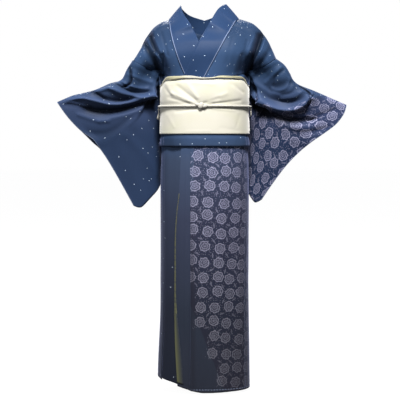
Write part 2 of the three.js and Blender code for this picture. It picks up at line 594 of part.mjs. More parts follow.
// Rows of a body panel below the upper body: height, layer and how far the tuck has opened.
function lowerRows(front, tucked) {
  const plain = tucked ? LAYER.bodyOver : LAYER.bodyUnder;
  const levels = front ? [0, 0.14, 0.28, 0.42, 0.56, 0.7, 0.85, 1] : [0, 0.5, 1];
  const rows = levels.map((v) => ({ z: mix(WAIST_Z, -384, v), out: plain, rise: v === 0 ? WAIST_SIDE_RISE : 0 }));
  if (!tucked) return rows;
  const middle = (LAYER.tuckOuter + LAYER.tuckInner) / 2 - CLOTH / 2;
  return [
    ...rows,
    { z: -391, out: OBI_INNER - 0.8 },
    { z: -404, out: OBI_INNER - 0.8 },
    { z: -420, out: LAYER.tuckOuter },
    { z: TUCK_BOTTOM_Z + 4, out: LAYER.tuckOuter },
    { z: TUCK_BOTTOM_Z + 0.8, out: LAYER.tuckOuter - 0.7 },
    { z: TUCK_BOTTOM_Z, out: middle },
    { z: TUCK_BOTTOM_Z + 0.8, out: LAYER.tuckInner - CLOTH + 0.7 },
    { z: TUCK_BOTTOM_Z + 4, out: LAYER.tuckInner - CLOTH },
    { z: TUCK_TOP_Z, out: LAYER.tuckInner - CLOTH },
  ];
}

// The angle of a body panel's inner edge, below the upper body.
function lowerInnerDeg(side, z, face) {
  const { sign } = SLEEVES[side];
  if (face > 0) return sign * (180 - gapDeg);
  const down = ease(WAIST_Z + 20, OBI_BOTTOM_Z, z);
  return side === "left" ? mix(-7.5, TUCK_EDGE_DEG, down) : mix(-27, 2, down);
}

function lowerPoint(side, s, row, face) {
  const { sign } = SLEEVES[side];
  const seamDeg = mix(WAIST_SEAM_DEG, SIDE_SEAM_DEG, ease(WAIST_Z, OBI_BOTTOM_Z, row.z));
  const seam = sign * (seamDeg + (face > 0 ? gapDeg : -gapDeg));
  return figurePoint(mix(lowerInnerDeg(side, row.z, face), seam, s), row.z + (row.rise || 0) * s ** 3, row.out);
}

const BODY_COLUMNS = 11;
function bodyGrid(side) {
  const half = (face) => {
    const tucked = face > 0 || side === "left";
    const upper = steps(ARM_ROWS).map((k) => steps(BODY_COLUMNS).map((s) => upperPoint(side, s, k, face)));
    const rows = lowerRows(face < 0, tucked);
    return [...upper, ...rows.map((row) => steps(BODY_COLUMNS).map((s) => lowerPoint(side, s, row, face)))];
  };
  return [...half(-1).reverse(), ...half(1).slice(1)];
}

// ---------- collar ----------
// One band from the front of the waist, round the neck and back down; columns run from the sewn
// edge to the free one.
function collarGrid() {
  const ats = [...steps(8).map((v) => v * NECK_AT), ...steps(14).slice(1).map((v) => mix(NECK_AT, 1, v))];
  const half = (side) => ats.map((v) => [collarLine(side, v, "seam"), collarLine(side, v, "edge")]);
  const lines = [...half("right").reverse(), ...half("left").slice(1)];
  return lines.map(([seam, edge], i) => {
    const [before, after] = [lines[Math.max(0, i - 1)], lines[Math.min(lines.length - 1, i + 1)]];
    const run = after[0].clone().add(after[1]).sub(before[0]).sub(before[1]);
    const normal = edge.clone().sub(seam).cross(run).normalize();
    return steps(4).map((w) => {
      const lift = COLLAR_CLOTH + COLLAR_LIFT + COLLAR_CROWN * Math.sin(Math.PI * w);
      return seam.clone().lerp(edge, w).addScaledVector(normal, lift);
    });
  });
}

// ---------- the obi ----------
// The wrapped sash from top to bottom: how far its outer face stands off LAYER.obi all round, and
// how much further it puffs out in front.
const OBI_PROFILE = [
  { z: OBI_TOP_Z, out: -0.8, puff: 0 },
  { z: -214, out: -0.2, puff: 2.5 },
  { z: -235, out: 0, puff: 5 },
  { z: -262, out: 0, puff: 5.5 },
  { z: -282, out: 0, puff: 3.5 },
  { z: -292, out: 0, puff: 0.8 },
  { z: -306, out: 0, puff: 0.2 },
  { z: -330, out: 0, puff: 1 },
  { z: -370, out: 0.4, puff: 1 },
  { z: OBI_BOTTOM_Z, out: 0.6, puff: 0.4 },
];
const frontOnly = (deg) => ease(98, 40, Math.abs(deg));
const RING_DEGS = steps(44)
  .slice(0, -1)
  .map((u) => -180 + u * 360);

function obiOut(deg, z) {
  return LAYER.obi + along(OBI_PROFILE, "z", "out", z) + along(OBI_PROFILE, "z", "puff", z) * frontOnly(deg);
}
function obiWrap() {
  const rows = OBI_PROFILE.map((row) => row.z);
  const outer = gridOf(rows, RING_DEGS, (z, deg) => figurePoint(deg, z, obiOut(deg, z)));
  const inner = gridOf(rows, RING_DEGS, (z, deg) => figurePoint(deg, z, OBI_INNER));
  return shell(outer, inner, true);
}

// A soft tube on a path of points, closed into a ring. across and up give each point's half sizes.
function ringTube(path, across, up, sides) {
  const n = path.length;
  const rows = path.map((p, i) => {
    const run = path[(i + 1) % n].clone().sub(path[(i + n - 1) % n]).normalize();
    const out = run.clone().cross(vec(0, 0, 1)).normalize();
    const rise = out.clone().cross(run).normalize();
    return steps(sides).slice(0, -1).map((u) => {
      const a = u * 2 * Math.PI;
      return p.clone().addScaledVector(out, across(i) * Math.cos(a)).addScaledVector(rise, up(i) * Math.sin(a));
    });
  });
  const id = (i, j) => (i % n) * sides + (j % sides);
  const faces = [];
  for (let i = 0; i < n; i += 1)
    for (let j = 0; j < sides; j += 1)
      faces.push(id(i, j), id(i + 1, j), id(i + 1, j + 1), id(i, j), id(i + 1, j + 1), id(i, j + 1));
  return closed(rows.flat(), faces);
}

// The obiage, a soft silk band that peeks out over the obi's top edge, fuller at the sides.
const OBIAGE = { out: 16.8, half: 3.2, backOut: 15.4, backHalf: 1.7, riseSide: 5, riseMiddle: 2.6, riseBack: 2.4 };
function obiage() {
  const behind = (deg) => ease(50, 76, Math.abs(deg));
  const rise = (deg) => {
    const front = mix(OBIAGE.riseMiddle, OBIAGE.riseSide, ease(6, 26, Math.abs(deg - 2)));
    return mix(front, OBIAGE.riseBack, behind(deg));
  };
  const out = (deg) => mix(OBIAGE.out, OBIAGE.backOut, behind(deg));
  const half = (deg) => mix(OBIAGE.half, OBIAGE.backHalf, behind(deg));
  const path = RING_DEGS.map((deg) => figurePoint(deg, OBI_TOP_Z + 0.6 + rise(deg), out(deg)));
  return ringTube(path, (i) => half(RING_DEGS[i]), (i) => rise(RING_DEGS[i]), 6);
}

// The obijime: a cord round the obi, with its knot in front and a tassel at each side.
const CORD_RADIUS = 4;
const CORD_GAP = 0.5;
// The knot's lumps: place and half sizes.
const KNOT = [
  { x: -11, z: 1, out: 7, halfX: 9, halfY: 6, halfZ: 12, lean: 0.5 },
  { x: -22, z: 4, out: 6, halfX: 11, halfY: 5, halfZ: 6, lean: 0.3 },
  { x: 2, z: -1, out: 6, halfX: 10, halfY: 5, halfZ: 6, lean: -0.3 },
];
const TASSELS = [
  { name: "tassel_right", deg: -84, length: 40, strands: 11, spread: 7 },
  { name: "tassel_left", deg: 84, length: 28, strands: 9, spread: 5 },
];

const wasm = await Module();
wasm.setup();
const solid = (geometry) => {
  const g = mergeVertices(new THREE.BufferGeometry().copy(geometry).deleteAttribute("normal").deleteAttribute("uv"), 1e-3);
  return new wasm.Manifold(
    new wasm.Mesh({
      numProp: 3,
      vertProperties: new Float32Array(g.attributes.position.array),
      triVerts: new Uint32Array(g.index.array),
    }),
  );
};
function joined(geometries) {
  const mesh = wasm.Manifold.union(geometries.map(solid)).getMesh();
  const geometry = new THREE.BufferGeometry();
  geometry.setAttribute("position", new THREE.BufferAttribute(mesh.vertProperties, mesh.numProp));
  geometry.setIndex([...mesh.triVerts]);
  return geometry;
}

function obijime() {
  const out = (deg) => obiOut(deg, CORD_Z) + CORD_GAP + CORD_RADIUS;
  const path = RING_DEGS.map((deg) => figurePoint(deg, CORD_Z, out(deg)));
  const ring = ringTube(path, () => CORD_RADIUS, () => CORD_RADIUS, 7);
  const lumps = KNOT.map((k) => {
    const lump = new THREE.SphereGeometry(1, 10, 6).rotateZ(0.2).scale(k.halfX, k.halfY, k.halfZ).rotateY(k.lean);
    const y = figurePoint(0, CORD_Z, obiOut(0, CORD_Z) + k.out).y;
    return lump.translate(k.x, y, CORD_Z + k.z);
  });
  return joined([ring, ...lumps]);
}

// A tassel: a head under the cord and three-sided strands fused into it.
function tassel({ deg, length, strands, spread }) {
  const top = figurePoint(deg, CORD_Z - CORD_RADIUS - 0.4, obiOut(deg, CORD_Z) + CORD_GAP + CORD_RADIUS);
  const head = new THREE.SphereGeometry(1, 8, 6).scale(3.4, 3.4, 5).translate(top.x, top.y, top.z - 5);
  const bundle = steps(strands - 1).map((u, i) => {
    const turn = i * 2.4;
    const foot = spread * Math.sqrt(u);
    const tip = vec(Math.sign(top.x) * (1 + foot * 0.5 + foot * 0.4 * Math.cos(turn)), foot * Math.sin(turn), -length + 4 * u);
    const strand = new THREE.CylinderGeometry(1.3, 1.1, tip.length(), 3).translate(0, -tip.length() / 2, 0);
    strand.applyQuaternion(new THREE.Quaternion().setFromUnitVectors(vec(0, -1, 0), tip.clone().normalize()));
    return strand.translate(top.x, top.y, top.z - 6);
  });
  return joined([head, ...bundle]);
}

// The otaiko, the drum bow behind: a loop of sash seen from the side, from its inner end, up over
// the top, down the outside, round the bottom fold and back up inside.
const DRUM_HALF_WIDTH = 141;
const DRUM = [
  { y: 122.8, z: -284 },
  { y: 121, z: -216 },
  { y: 127, z: -187 },
  { y: 146, z: -172 },
  { y: 176, z: -172 },
  { y: 200, z: -189 },
  { y: 212, z: -225 },
  { y: 215, z: -285 },
  { y: 212, z: -345 },
  { y: 203, z: -392 },
  { y: 190, z: -409 },
  { y: 170, z: -412 },
  { y: 150, z: -402 },
  { y: 141, z: -378 },
  { y: 140.3, z: -348 },
];
// Its hand, the end that lies across inside the drum, and its tail, which hangs below.
const HAND = [
  { y: 135.5, z: -256 },
  { y: 135.5, z: -346 },
];
const TAIL = [
  { y: 139.9, z: -333 },
  { y: 137.6, z: -380 },
  { y: 132, z: -405 },
  { y: 131.3, z: -440 },
  { y: 131.5, z: -478 },
];
const HAND_HALF_WIDTH = 151;
const HAND_CLOTH = 4; // folded double
const DRUM_BOW = 5 / 150 ** 2; // all three curve round the back by this much

// A strip of sash that follows a profile of its outer face, with its own width.
function strip(profile, halfWidth, thickness) {
  const xs = steps(6).map((u) => mix(-halfWidth, halfWidth, u));
  const rows = profile.map((p) => xs.map((x) => vec(FIGURE_X + x, p.y - DRUM_BOW * x * x, p.z)));
  return wall(rows, thickness, -1);
}

// ---------- the parts ----------
const SILK = { color: 0x35425f, roughness: 0.62, metalness: 0 };
const LINING = { color: 0x8a8a62, roughness: 0.6, metalness: 0 };
const BROCADE = { color: 0xefe9d8, roughness: 0.55, metalness: 0 };

const kimono = new THREE.Group();
function add(name, geometry, finish) {
  const mesh = new THREE.Mesh(mergeVertices(geometry, 1e-4), new THREE.MeshStandardMaterial(finish));
  mesh.name = name;
  kimono.add(mesh);
}

for (const [name, panel] of Object.entries(skirt)) add(name, panel(), SILK);
add("overlap_lining_edge", liningEdge(), LINING);
add("body_left", wall(bodyGrid("left"), CLOTH, -1), SILK);
add("body_right", wall(bodyGrid("right"), CLOTH, 1), SILK);
add("sleeve_left", wall(sleeveGrid(SLEEVE_LEFT, FOLDS_SLEEVE_LEFT), CLOTH, -1, true), SILK);
add("sleeve_right", wall(sleeveGrid(SLEEVE_RIGHT, FOLDS_SLEEVE_RIGHT), CLOTH, 1, true), SILK);
add("collar", wall(collarGrid(), COLLAR_CLOTH, -1), SILK);
add("obi_wrap", obiWrap(), BROCADE);
add("obiage", obiage(), BROCADE);
add("obijime", obijime(), BROCADE);
for (const spec of TASSELS) add(spec.name, tassel(spec), BROCADE);
add("obi_drum", strip(DRUM, DRUM_HALF_WIDTH, OBI_CLOTH), BROCADE);
add("obi_tail", strip(TAIL, DRUM_HALF_WIDTH - 2, OBI_CLOTH), BROCADE);
add("obi_hand", strip(HAND, HAND_HALF_WIDTH, HAND_CLOTH), BROCADE);

export default kimono;
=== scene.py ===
import bmesh
import bpy
import numpy as np
from bpy.props import FloatProperty, FloatVectorProperty, IntProperty, PointerProperty
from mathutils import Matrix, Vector


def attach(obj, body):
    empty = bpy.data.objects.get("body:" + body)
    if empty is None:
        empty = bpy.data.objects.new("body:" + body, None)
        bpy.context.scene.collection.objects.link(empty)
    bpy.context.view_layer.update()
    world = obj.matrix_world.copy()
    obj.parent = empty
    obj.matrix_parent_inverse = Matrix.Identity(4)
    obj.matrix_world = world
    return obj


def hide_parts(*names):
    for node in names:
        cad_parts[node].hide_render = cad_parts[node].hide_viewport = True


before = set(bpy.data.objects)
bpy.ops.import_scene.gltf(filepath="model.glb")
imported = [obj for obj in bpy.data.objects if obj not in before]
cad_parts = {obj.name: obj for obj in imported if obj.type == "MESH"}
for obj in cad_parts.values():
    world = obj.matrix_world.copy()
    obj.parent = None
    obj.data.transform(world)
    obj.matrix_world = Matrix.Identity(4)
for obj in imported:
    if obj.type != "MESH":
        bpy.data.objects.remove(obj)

bl_info = {
    "name": "Houmongi kimono",
    "version": (1, 0, 0),
    "blender": (4, 5, 0),
    "location": "View3D > Sidebar > Kimono",
    "description": "A visiting kimono as worn, with its obi tied, on a plain studio floor",
    "category": "Add Mesh",
}

# Every table and length below is in millimetres, with +Z up, +X to the wearer's left and the
# front towards -Y. The meshes are made in metres.
SQUARENESS = 2.35  # exponent of the figure's rounded sections
FIGURE_X = 2.0  # the figure's middle
LAYER_UNDER, LAYER_OVER = 2.4, 6.6  # skirt layers, off the padded figure
BODY_UNDER, BODY_OVER = 2.4, 8.4  # body panels
TUCK_INNER, TUCK_OUTER = 11.4, 13.6  # the two legs of the tuck under the obi
OBI_OUT, OBI_INNER = 15.8, 12.7
HEM_Z, HEM_RISE, HEM_RISE_LEFT, HEM_FLARE = -1313.0, 46.0, 5.0, 6.0
SKIRT_TOP_Z, GATHER = -399.0, 2.4
OBI_TOP_Z, OBI_BOTTOM_Z, CORD_Z = -204.0, -397.0, -299.0
TUCK_BOTTOM_Z, TUCK_TOP_Z = -441.0, -406.0
WAIST_Z, WAIST_SIDE_RISE = -246.0, 38.0
OVERLAP_SEAM_X = -49.0
SIDE_SEAM, WAIST_SEAM = 68.0, 86.0  # degrees from the middle of the front
UNDER_SEAM, UNDER_EDGE, TUCK_EDGE = 4.0, 58.0, -67.4
SEAM = 0.03  # degrees that sewn edges keep from each other
CLOTH, COLLAR_CLOTH = 1.6, 2.0
LINING_CLOTH, BAND_CLOTH, HAND_CLOTH = 0.0008, 0.0018, 0.0034  # walls of the lining, collar and hand, metres
UPPER_DOTS = 0.042  # metres between the dots of the body and the sleeves
FOLD_SHADE_FULL = 16.0  # rise of a fold that gives the silk full painted shade in its hollow and full painted highlight on its ridge

# Sections of the padded figure: z, half width, depth in front, depth behind.
FIGURE = np.array([
    (-1330, 158, 100, 98), (-1100, 154.5, 104, 104), (-850, 151, 109, 110), (-600, 151, 114, 120),
    (-440, 148, 113, 114), (-390, 145, 113, 110), (-200, 143, 112, 104),
])
# Height of the shoulder fold: distance from the middle of the shoulders, z.
SHOULDER = np.array([
    (0, 20), (112, 17), (140, 11), (162, 4), (180, -9), (198, -27), (220, -59), (241, -101), (262, -140),
])
SHOULDER_MIDDLE_X = 12.5
# The collar from the middle of the back to the front of the waist: share of the way, then x, y, z
# of its sewn edge and x, y, z of its free edge. A nan lies on the chest.
ON_CHEST = float("nan")
COLLAR_LEFT = np.array([
    (0, 2, 110, -36, 2, 101, 18), (0.14, 70, 99, -20, 52, 84, 36), (0.26, 112, 56, 3, 76, 46, 59),
    (0.36, 123, 0, 14, 76, 3, 66), (0.46, 108, -45, -6, 49, -36, 45),
    (0.56, 88, ON_CHEST, -42, 18, -76, -8), (0.67, 66, ON_CHEST, -82, -18, ON_CHEST, -74),
    (0.79, 36, ON_CHEST, -136, -47, ON_CHEST, -140), (0.92, 3, ON_CHEST, -198, -73, ON_CHEST, -198),
    (1, -14, ON_CHEST, -236, -88, ON_CHEST, -236),
])
COLLAR_RIGHT = np.array([
    (0, 2, 110, -36, 2, 101, 18), (0.14, -66, 99, -20, -50, 84, 34), (0.26, -110, 56, 0, -78, 46, 54),
    (0.36, -124, 0, 10, -81, 3, 61), (0.46, -123, -46, -10, -73, -34, 30),
    (0.56, -118, ON_CHEST, -45, -45, -76, -16), (0.67, -108, ON_CHEST, -86, -18, ON_CHEST, -74),
    (0.79, -90, ON_CHEST, -140, 16, ON_CHEST, -140), (0.92, -66, ON_CHEST, -198, 41, ON_CHEST, -198),
    (1, -53, ON_CHEST, -236, 41, ON_CHEST, -236),
])
NECK_AT, BACK_NECK = 0.36, 4 / 7
# The sleeves' four edges: share of the way, x, y, z.
SLEEVE_LEFT = {
    "ridge": [(0, 259, 0, -128), (0.12, 288, 0, -150), (0.21, 306, 0, -177), (0.3, 319, 0, -203),
              (0.38, 339, 0, -220), (0.55, 392, 0, -241), (0.78, 455, 0, -268), (1, 511, 0, -292)],
    "outer": [(0, 511, 0, -292), (0.1, 499, 0, -327), (0.2, 468, 2, -366), (0.42, 371, 8, -437),
              (0.6, 306, 14, -500), (0.8, 249, 22, -574), (1, 193, 34, -658)],
    "inner": [(0, 259, 0, -128), (0.24, 210, 0, -160), (0.46, 159, 2, -176), (0.5, 175, 19, -197),
              (0.57, 163, 46, -234), (0.69, 154, 80, -300), (0.84, 153, 116, -390), (1, 155, 160, -492)],
    "bottom": [(0, 155, 160, -492), (0.35, 156, 108, -556), (0.7, 163, 62, -612), (1, 193, 34, -658)],
}
SLEEVE_RIGHT = {
    "ridge": [(0, -256, 0, -134), (0.12, -277, 0, -167), (0.24, -296, 0, -202), (0.37, -338, 0, -216),
              (0.54, -389, 0, -238), (0.67, -430, 0, -249), (0.82, -472, 0, -259), (1, -527, 0, -282)],
    "outer": [(0, -527, 0, -282), (0.2, -480, 0, -346), (0.4, -400, 2, -428), (0.47, -372, 4, -453),
              (0.65, -326, 10, -526), (1, -242, 26, -680)],
    "inner": [(0, -256, 0, -134), (0.24, -208, 0, -162), (0.46, -159, 2, -176), (0.5, -170, 19, -197),
              (0.57, -160, 46, -234), (0.69, -152, 80, -300), (0.84, -151, 116, -385), (1, -154, 156, -480)],
    "bottom": [(0, -154, 156, -480), (0.3, -156, 108, -546), (0.55, -166, 68, -594), (0.78, -197, 40, -632),
               (1, -242, 26, -680)],
}
ARMHOLE, CUFF = 0.46, 0.47  # shares of the sleeve's depth: sewn to the body, open for the hand
SLEEVE_DEPTH, SLEEVE_WIDTH, SLEEVE_CORNER = 480.0, 320.0, 26.0
FULL_SHOULDER, FULL_ELBOW, FULL_CUFF = 46.0, 40.0, 13.0
BAG_HALF, SEWN_HALF = 6.0, 2.0
ELBOW = 0.35  # share of the way along the arm
KNEE = 7 / 15  # share of the sleeve's columns that lie above the armpit
SKIRT_LONG = -HEM_Z + SKIRT_TOP_Z
# Sleeve folds: a line of points (share along the arm, share down), rise out, half width above and
# below the line.
FOLDS_SLEEVE_RIGHT = [
    ([(0.75, 0.196), (0.69, 0.242), (0.5, 0.338), (0.375, 0.412), (0.08, 0.58)], -12, 14, 24),
    ([(0.88, 0.02), (0.72, 0.083), (0.53, 0.26), (0.42, 0.333), (0.2, 0.49)], 9, 16, 14),
    ([(0.58, 0.02), (0.55, 0.15), (0.48, 0.242), (0.38, 0.31)], -6, 11, 14),
    ([(0.52, 0.03), (0.41, 0.1), (0.37, 0.22), (0.27, 0.41), (0.1, 0.54)], 7, 13, 13),
    ([(0.06, 0), (0.13, 0.09), (0.2, 0.146), (0.27, 0.142)], -9, 10, 10),
    ([(0.96, 0.33), (0.85, 0.405), (0.6, 0.435), (0.35, 0.5)], -3, 22, 22),
    ([(0.5, 0.5), (0.35, 1)], 5, 44, 44),
]
FOLDS_SLEEVE_LEFT = [
    ([(0.16, 0.535), (0.37, 0.433), (0.485, 0.371), (0.55, 0.308), (0.575, 0.24), (0.57, 0.11)], 15, 26, 10),
    ([(0.12, 0.49), (0.255, 0.417), (0.36, 0.325), (0.455, 0.237), (0.5, 0.167), (0.52, 0.09)], -4, 12, 12),
    ([(0.05, 0.62), (0.33, 0.515), (0.53, 0.433), (0.64, 0.362), (0.73, 0.28)], -14, 9, 26),
    ([(0.4, 0.02), (0.5, 0.05), (0.57, 0.1), (0.6, 0.16)], -8, 6, 8),
    ([(0.3, 0.04), (0.25, 0.2), (0.24, 0.32)], -6, 13, 13),
    ([(0.84, 0.27), (0.8, 0.325), (0.69, 0.438), (0.495, 0.517), (0.25, 0.585)], 2, 16, 20),
]
FOLDS_BODY = [
    (-1, -222, -50, -146, -205, -12, 12), (-1, -190, -40, -132, -190, -7, 9),
    (-1, -168, -120, -112, -215, 6, 9), (-1, 196, -50, 152, -205, -12, 12),
    (-1, 236, -90, 176, -200, -6, 10), (1, -214, -60, -150, -205, -10, 14),
    (1, 214, -60, 150, -205, -10, 14),
]
# Skirt folds: degrees at the top, degrees at the hem, rise out, half width in degrees.
FOLDS_SKIRT = [
    (-12, -24, 3.2, 3.4), (-22, -30, -1.6, 3.4), (-58, -66, 3, 6), (40, 46, -2, 7),
    (128, 120, 3, 8), (-132, -124, 3, 8), (160, 156, -2.5, 6), (-156, -160, -2.5, 6),
]
# The free edge of the left overlap: z, x. And the lining turned out along it: share down, width.
OVERLAP_EDGE = np.array([
    (-399, -80), (-610, -89), (-680, -97), (-768, -102.6), (-873, -104), (-1048, -104.5), (-1153, -102),
    (-1223, -98), (-1330, -91),
])
LINING_EDGE = np.array([(0.23, 3), (0.52, 5), (0.63, 5.5), (0.71, 9), (0.825, 16), (0.9, 19), (1, 20)])
# The wrapped obi from top to bottom: z, how far it stands out, how much further it puffs in front.
OBI_PROFILE = np.array([
    (-204, -0.8, 0), (-214, -0.2, 2.5), (-235, 0, 5), (-262, 0, 5.5), (-282, 0, 3.5), (-292, 0, 0.8),
    (-306, 0, 0.2), (-330, 0, 1), (-370, 0.4, 1), (-397, 0.6, 0.4),
])
# The drum bow, its tail and its hand, seen from the side: y, z of the outer face.
DRUM = [
    (122.8, -284), (121, -216), (127, -187), (146, -172), (176, -172), (200, -189), (212, -225), (215, -285),
    (212, -345), (203, -392), (190, -409), (170, -412), (150, -402), (141, -378), (140.3, -348),
]
TAIL = [(139.9, -333), (137.6, -380), (132, -405), (131.3, -440), (131.5, -478)]
HAND = [(135.5, -256), (135.5, -346)]
DRUM_HALF, HAND_HALF, DRUM_BOW = 141.0, 151.0, 5 / 150 ** 2


# ---------- settings ----------
class KimonoSilk(bpy.types.PropertyGroup):
    """Sizes and colours of the silk"""

    thickness: FloatProperty(
        name="Silk thickness", description="Wall of the lined silk", default=0.0013, min=0.0008, max=0.0016,
        unit="LENGTH", subtype="DISTANCE")
    detail: IntProperty(
        name="Detail", description="Grid steps across one panel", default=96, min=24, max=140,
        subtype="UNSIGNED")
    collar: FloatVectorProperty(
        name="Upper silk", description="Blue of the collar and the bodice", subtype="COLOR", size=3,
        default=(0.0066, 0.0148, 0.0370), min=0, max=1)
    hem: FloatVectorProperty(
        name="Lower silk", description="Navy of the skirt near the hem", subtype="COLOR", size=3,
        default=(0.0048, 0.0056, 0.0088), min=0, max=1)
    rose: FloatVectorProperty(
        name="Roses", description="Lavender grey of the roses", subtype="COLOR", size=3,
        default=(0.15, 0.15, 0.218), min=0, max=1)
    rose_pitch: FloatProperty(
        name="Rose pitch", description="From the middle of one rose to the next", default=0.051, min=0.03,
        max=0.1, unit="LENGTH", subtype="DISTANCE")
    lining: FloatVectorProperty(
        name="Lining", description="Olive silk turned out along the overlap", subtype="COLOR", size=3,
        default=(0.036, 0.038, 0.019), min=0, max=1)


class KimonoObi(bpy.types.PropertyGroup):
    """Sizes and colours of the obi, its cord and the silk band over it"""

    thickness: FloatProperty(
        name="Obi thickness", description="Wall of the folded obi", default=0.0026, min=0.001, max=0.003,
        unit="LENGTH", subtype="DISTANCE")
    brocade: FloatVectorProperty(
        name="Obi", description="Cream of the woven obi", subtype="COLOR", size=3,
        default=(0.207, 0.200, 0.171), min=0, max=1)
    band: FloatVectorProperty(
        name="Obiage", description="Pale gold of the silk band over the obi", subtype="COLOR", size=3,
        default=(0.135, 0.127, 0.082), min=0, max=1)
    cord: FloatVectorProperty(
        name="Obijime", description="Pale grey of the braided cord", subtype="COLOR", size=3,
        default=(0.19, 0.183, 0.162), min=0, max=1)
    cord_radius: FloatProperty(
        name="Cord radius", description="Half the thickness of the obijime", default=0.0038, min=0.002,
        max=0.004, unit="LENGTH", subtype="DISTANCE")
    strands: IntProperty(
        name="Tassel strands", description="Strands of each tassel", default=70, min=20, max=120,
        subtype="UNSIGNED")


class KimonoStage(bpy.types.PropertyGroup):
    """The floor, the light and the camera"""

    floor: FloatVectorProperty(
        name="Floor", description="Colour of the floor", subtype="COLOR", size=3, default=(0.06, 0.06, 0.06),
        min=0, max=1)
    ambient: FloatProperty(
        name="Room light", description="Strength of the light from all sides", default=1.0, min=0, max=4,
        subtype="FACTOR")
    key: FloatProperty(
        name="Key light", description="Power of the large light", default=960.0, min=0, max=2000,
        unit="POWER")
    distance: FloatProperty(
        name="Camera distance", description="From the lens to the garment's middle", default=4.3, min=1,
        max=20, unit="LENGTH", subtype="DISTANCE")


# ---------- shapes ----------
def mix(a, b, t):
    """The value that lies the share t of the way from a to b."""
    return a + (b - a) * t


def ease(start, end, value):
    """Goes softly from 0 at start to 1 at end, as 3t^2 - 2t^3."""
    t = np.clip((value - start) / (end - start), 0, 1)
    return t * t * (3 - 2 * t)


def cubic(key, value, i, t, h):
    """A cubic line through knots: its value at the share t of the way from knot i to the next one, h
    further on. A knot's slope comes from the knots before and after it."""
    order = np.arange(len(key))
    before, after = np.maximum(order - 1, 0), np.minimum(order + 1, len(key) - 1)
    run = (key[after] - key[before]).reshape(-1, *[1] * (value.ndim - 1))
    slope = (value[after] - value[before]) / run
    return (value[i] * (2 * t ** 3 - 3 * t ** 2 + 1) + value[i + 1] * (3 * t ** 2 - 2 * t ** 3)
            + h * (slope[i] * (t ** 3 - 2 * t ** 2 + t) + slope[i + 1] * (t ** 3 - t ** 2)))


def along(table, column, at):
    """A cubic line through one column of a table, keyed by its first column."""
    rows = np.asarray(table, float)
    rows = rows[np.argsort(rows[:, 0])]
    key, at = rows[:, 0], np.asarray(at, float)
    i = np.searchsorted(key[1:-1], at, side="left")
    h = key[i + 1] - key[i]
    return cubic(key, rows[:, column], i, np.clip((at - key[i]) / h, 0, 1), h)


def way_along(points):
    """Length of a line of points from its first point to each one."""
    return np.concatenate([[0], np.cumsum(np.linalg.norm(np.diff(points, axis=0), axis=1))])


def points_of(x, y, z):
    """One array of points from three arrays that fit together."""
    return np.stack(np.broadcast_arrays(np.asarray(x, float), y, z), axis=-1)


def bump(distance, half):
    """Height of a soft fold at a distance from its line: a bell of that half width."""
    return np.exp(-((distance / half) ** 2))


def off_line(px, py, x0, y0, x1, y1):
    """Distance from points to a line with two ends, and the share of the way along it."""
    rx, ry = x1 - x0, y1 - y0
    share = np.clip(((px - x0) * rx + (py - y0) * ry) / (rx * rx + ry * ry), 0, 1)
    return np.hypot(px - x0 - share * rx, py - y0 - share * ry), share


def unit(ways):
    """Ways made 1 long."""
    return ways / np.linalg.norm(ways, axis=-1, keepdims=True)


def normals_of(points):
    """Unit normals of a grid: the cross product of the ways down and across it."""
    return unit(np.cross(np.gradient(points, axis=0), np.gradient(points, axis=1)))


def figure_point(deg, z, out):
    """The padded figure: a squared ellipse at each height, pushed out by out."""
    a = np.radians(deg)
    half = along(FIGURE, 1, z) + out
    depth = np.where(np.cos(a) > 0, along(FIGURE, 2, z), along(FIGURE, 3, z)) + out
    reach = (np.abs(np.sin(a)) / half) ** SQUARENESS + (np.abs(np.cos(a)) / depth) ** SQUARENESS
    r = reach ** (-1 / SQUARENESS)
    return points_of(FIGURE_X + r * np.sin(a), -r * np.cos(a), z)


def angle_of(x, z, out):
    """The angle at which the figure's front reaches x, found by halving."""
    low, high = np.full(np.shape(z), -90.0), np.full(np.shape(z), 90.0)
    for _ in range(26):
        middle = (low + high) / 2
        less = figure_point(middle, z, out)[..., 0] < x
        low, high = np.where(less, middle, low), np.where(less, high, middle)
    return low


def turned(deg):
    """The same angle between -180 and 180 degrees."""
    return (deg + 180) % 360 - 180


def arc_of(deg):
    """Length round the skirt from the middle of the front, in millimetres."""
    degs = np.linspace(-180, 180, 721)
    ring = figure_point(degs, np.full(degs.shape, -850.0), LAYER_OVER)
    run = way_along(ring)
    return np.interp(deg, degs, run - np.interp(0, degs, run))


def hem_z(deg):
    """Height of the hem: lifted with the square of the sine towards each side."""
    side = np.sin(np.radians(deg))
    return HEM_Z + side * side * np.where(side < 0, HEM_RISE, HEM_RISE_LEFT)


# Finer creases of the skirt: degrees and share down at both ends, rise out, half width in degrees.
CREASES_SKIRT = [
    (-6, 0.02, -12, 0.36, 1.0, 1.3), (-14, 0.05, -19, 0.62, -0.8, 1.6), (3, 0.03, -4, 0.22, 0.8, 1.2),
    (-29, 0.04, -33, 0.9, 0.9, 1.8), (14, 0.03, 8, 0.3, -0.7, 2.2), (26, 0.02, 30, 0.75, 1.1, 3.2),
    (54, 0.05, 58, 0.8, 1.3, 3), (-62, 0.04, -64, 0.5, -0.8, 2), (8, 0.6, 13, 1.05, 1.4, 3),
    (33, 0.72, 36, 1.05, -1.2, 2.6), (-8, 0.74, -6, 1.05, 1.0, 2.4), (88, 0.03, 92, 0.6, 1.6, 4),
    (104, 0.3, 110, 1.05, 1.8, 4.5), (144, 0.04, 150, 0.5, 1.4, 3.5), (172, 0.08, 170, 1.05, 1.2, 3),
    (-96, 0.04, -92, 0.7, 1.6, 4), (-112, 0.35, -106, 1.05, 1.8, 4), (-146, 0.05, -142, 0.6, 1.5, 3.5),
    (-172, 0.1, -168, 1.05, 1.2, 3),
]


def hem_flare(deg, v):
    """The skirt stands out at the wearer's right side near the hem, with the square of the sine."""
    return HEM_FLARE * np.maximum(0, -np.sin(np.radians(deg))) ** 2 * ease(0.72, 1, v)


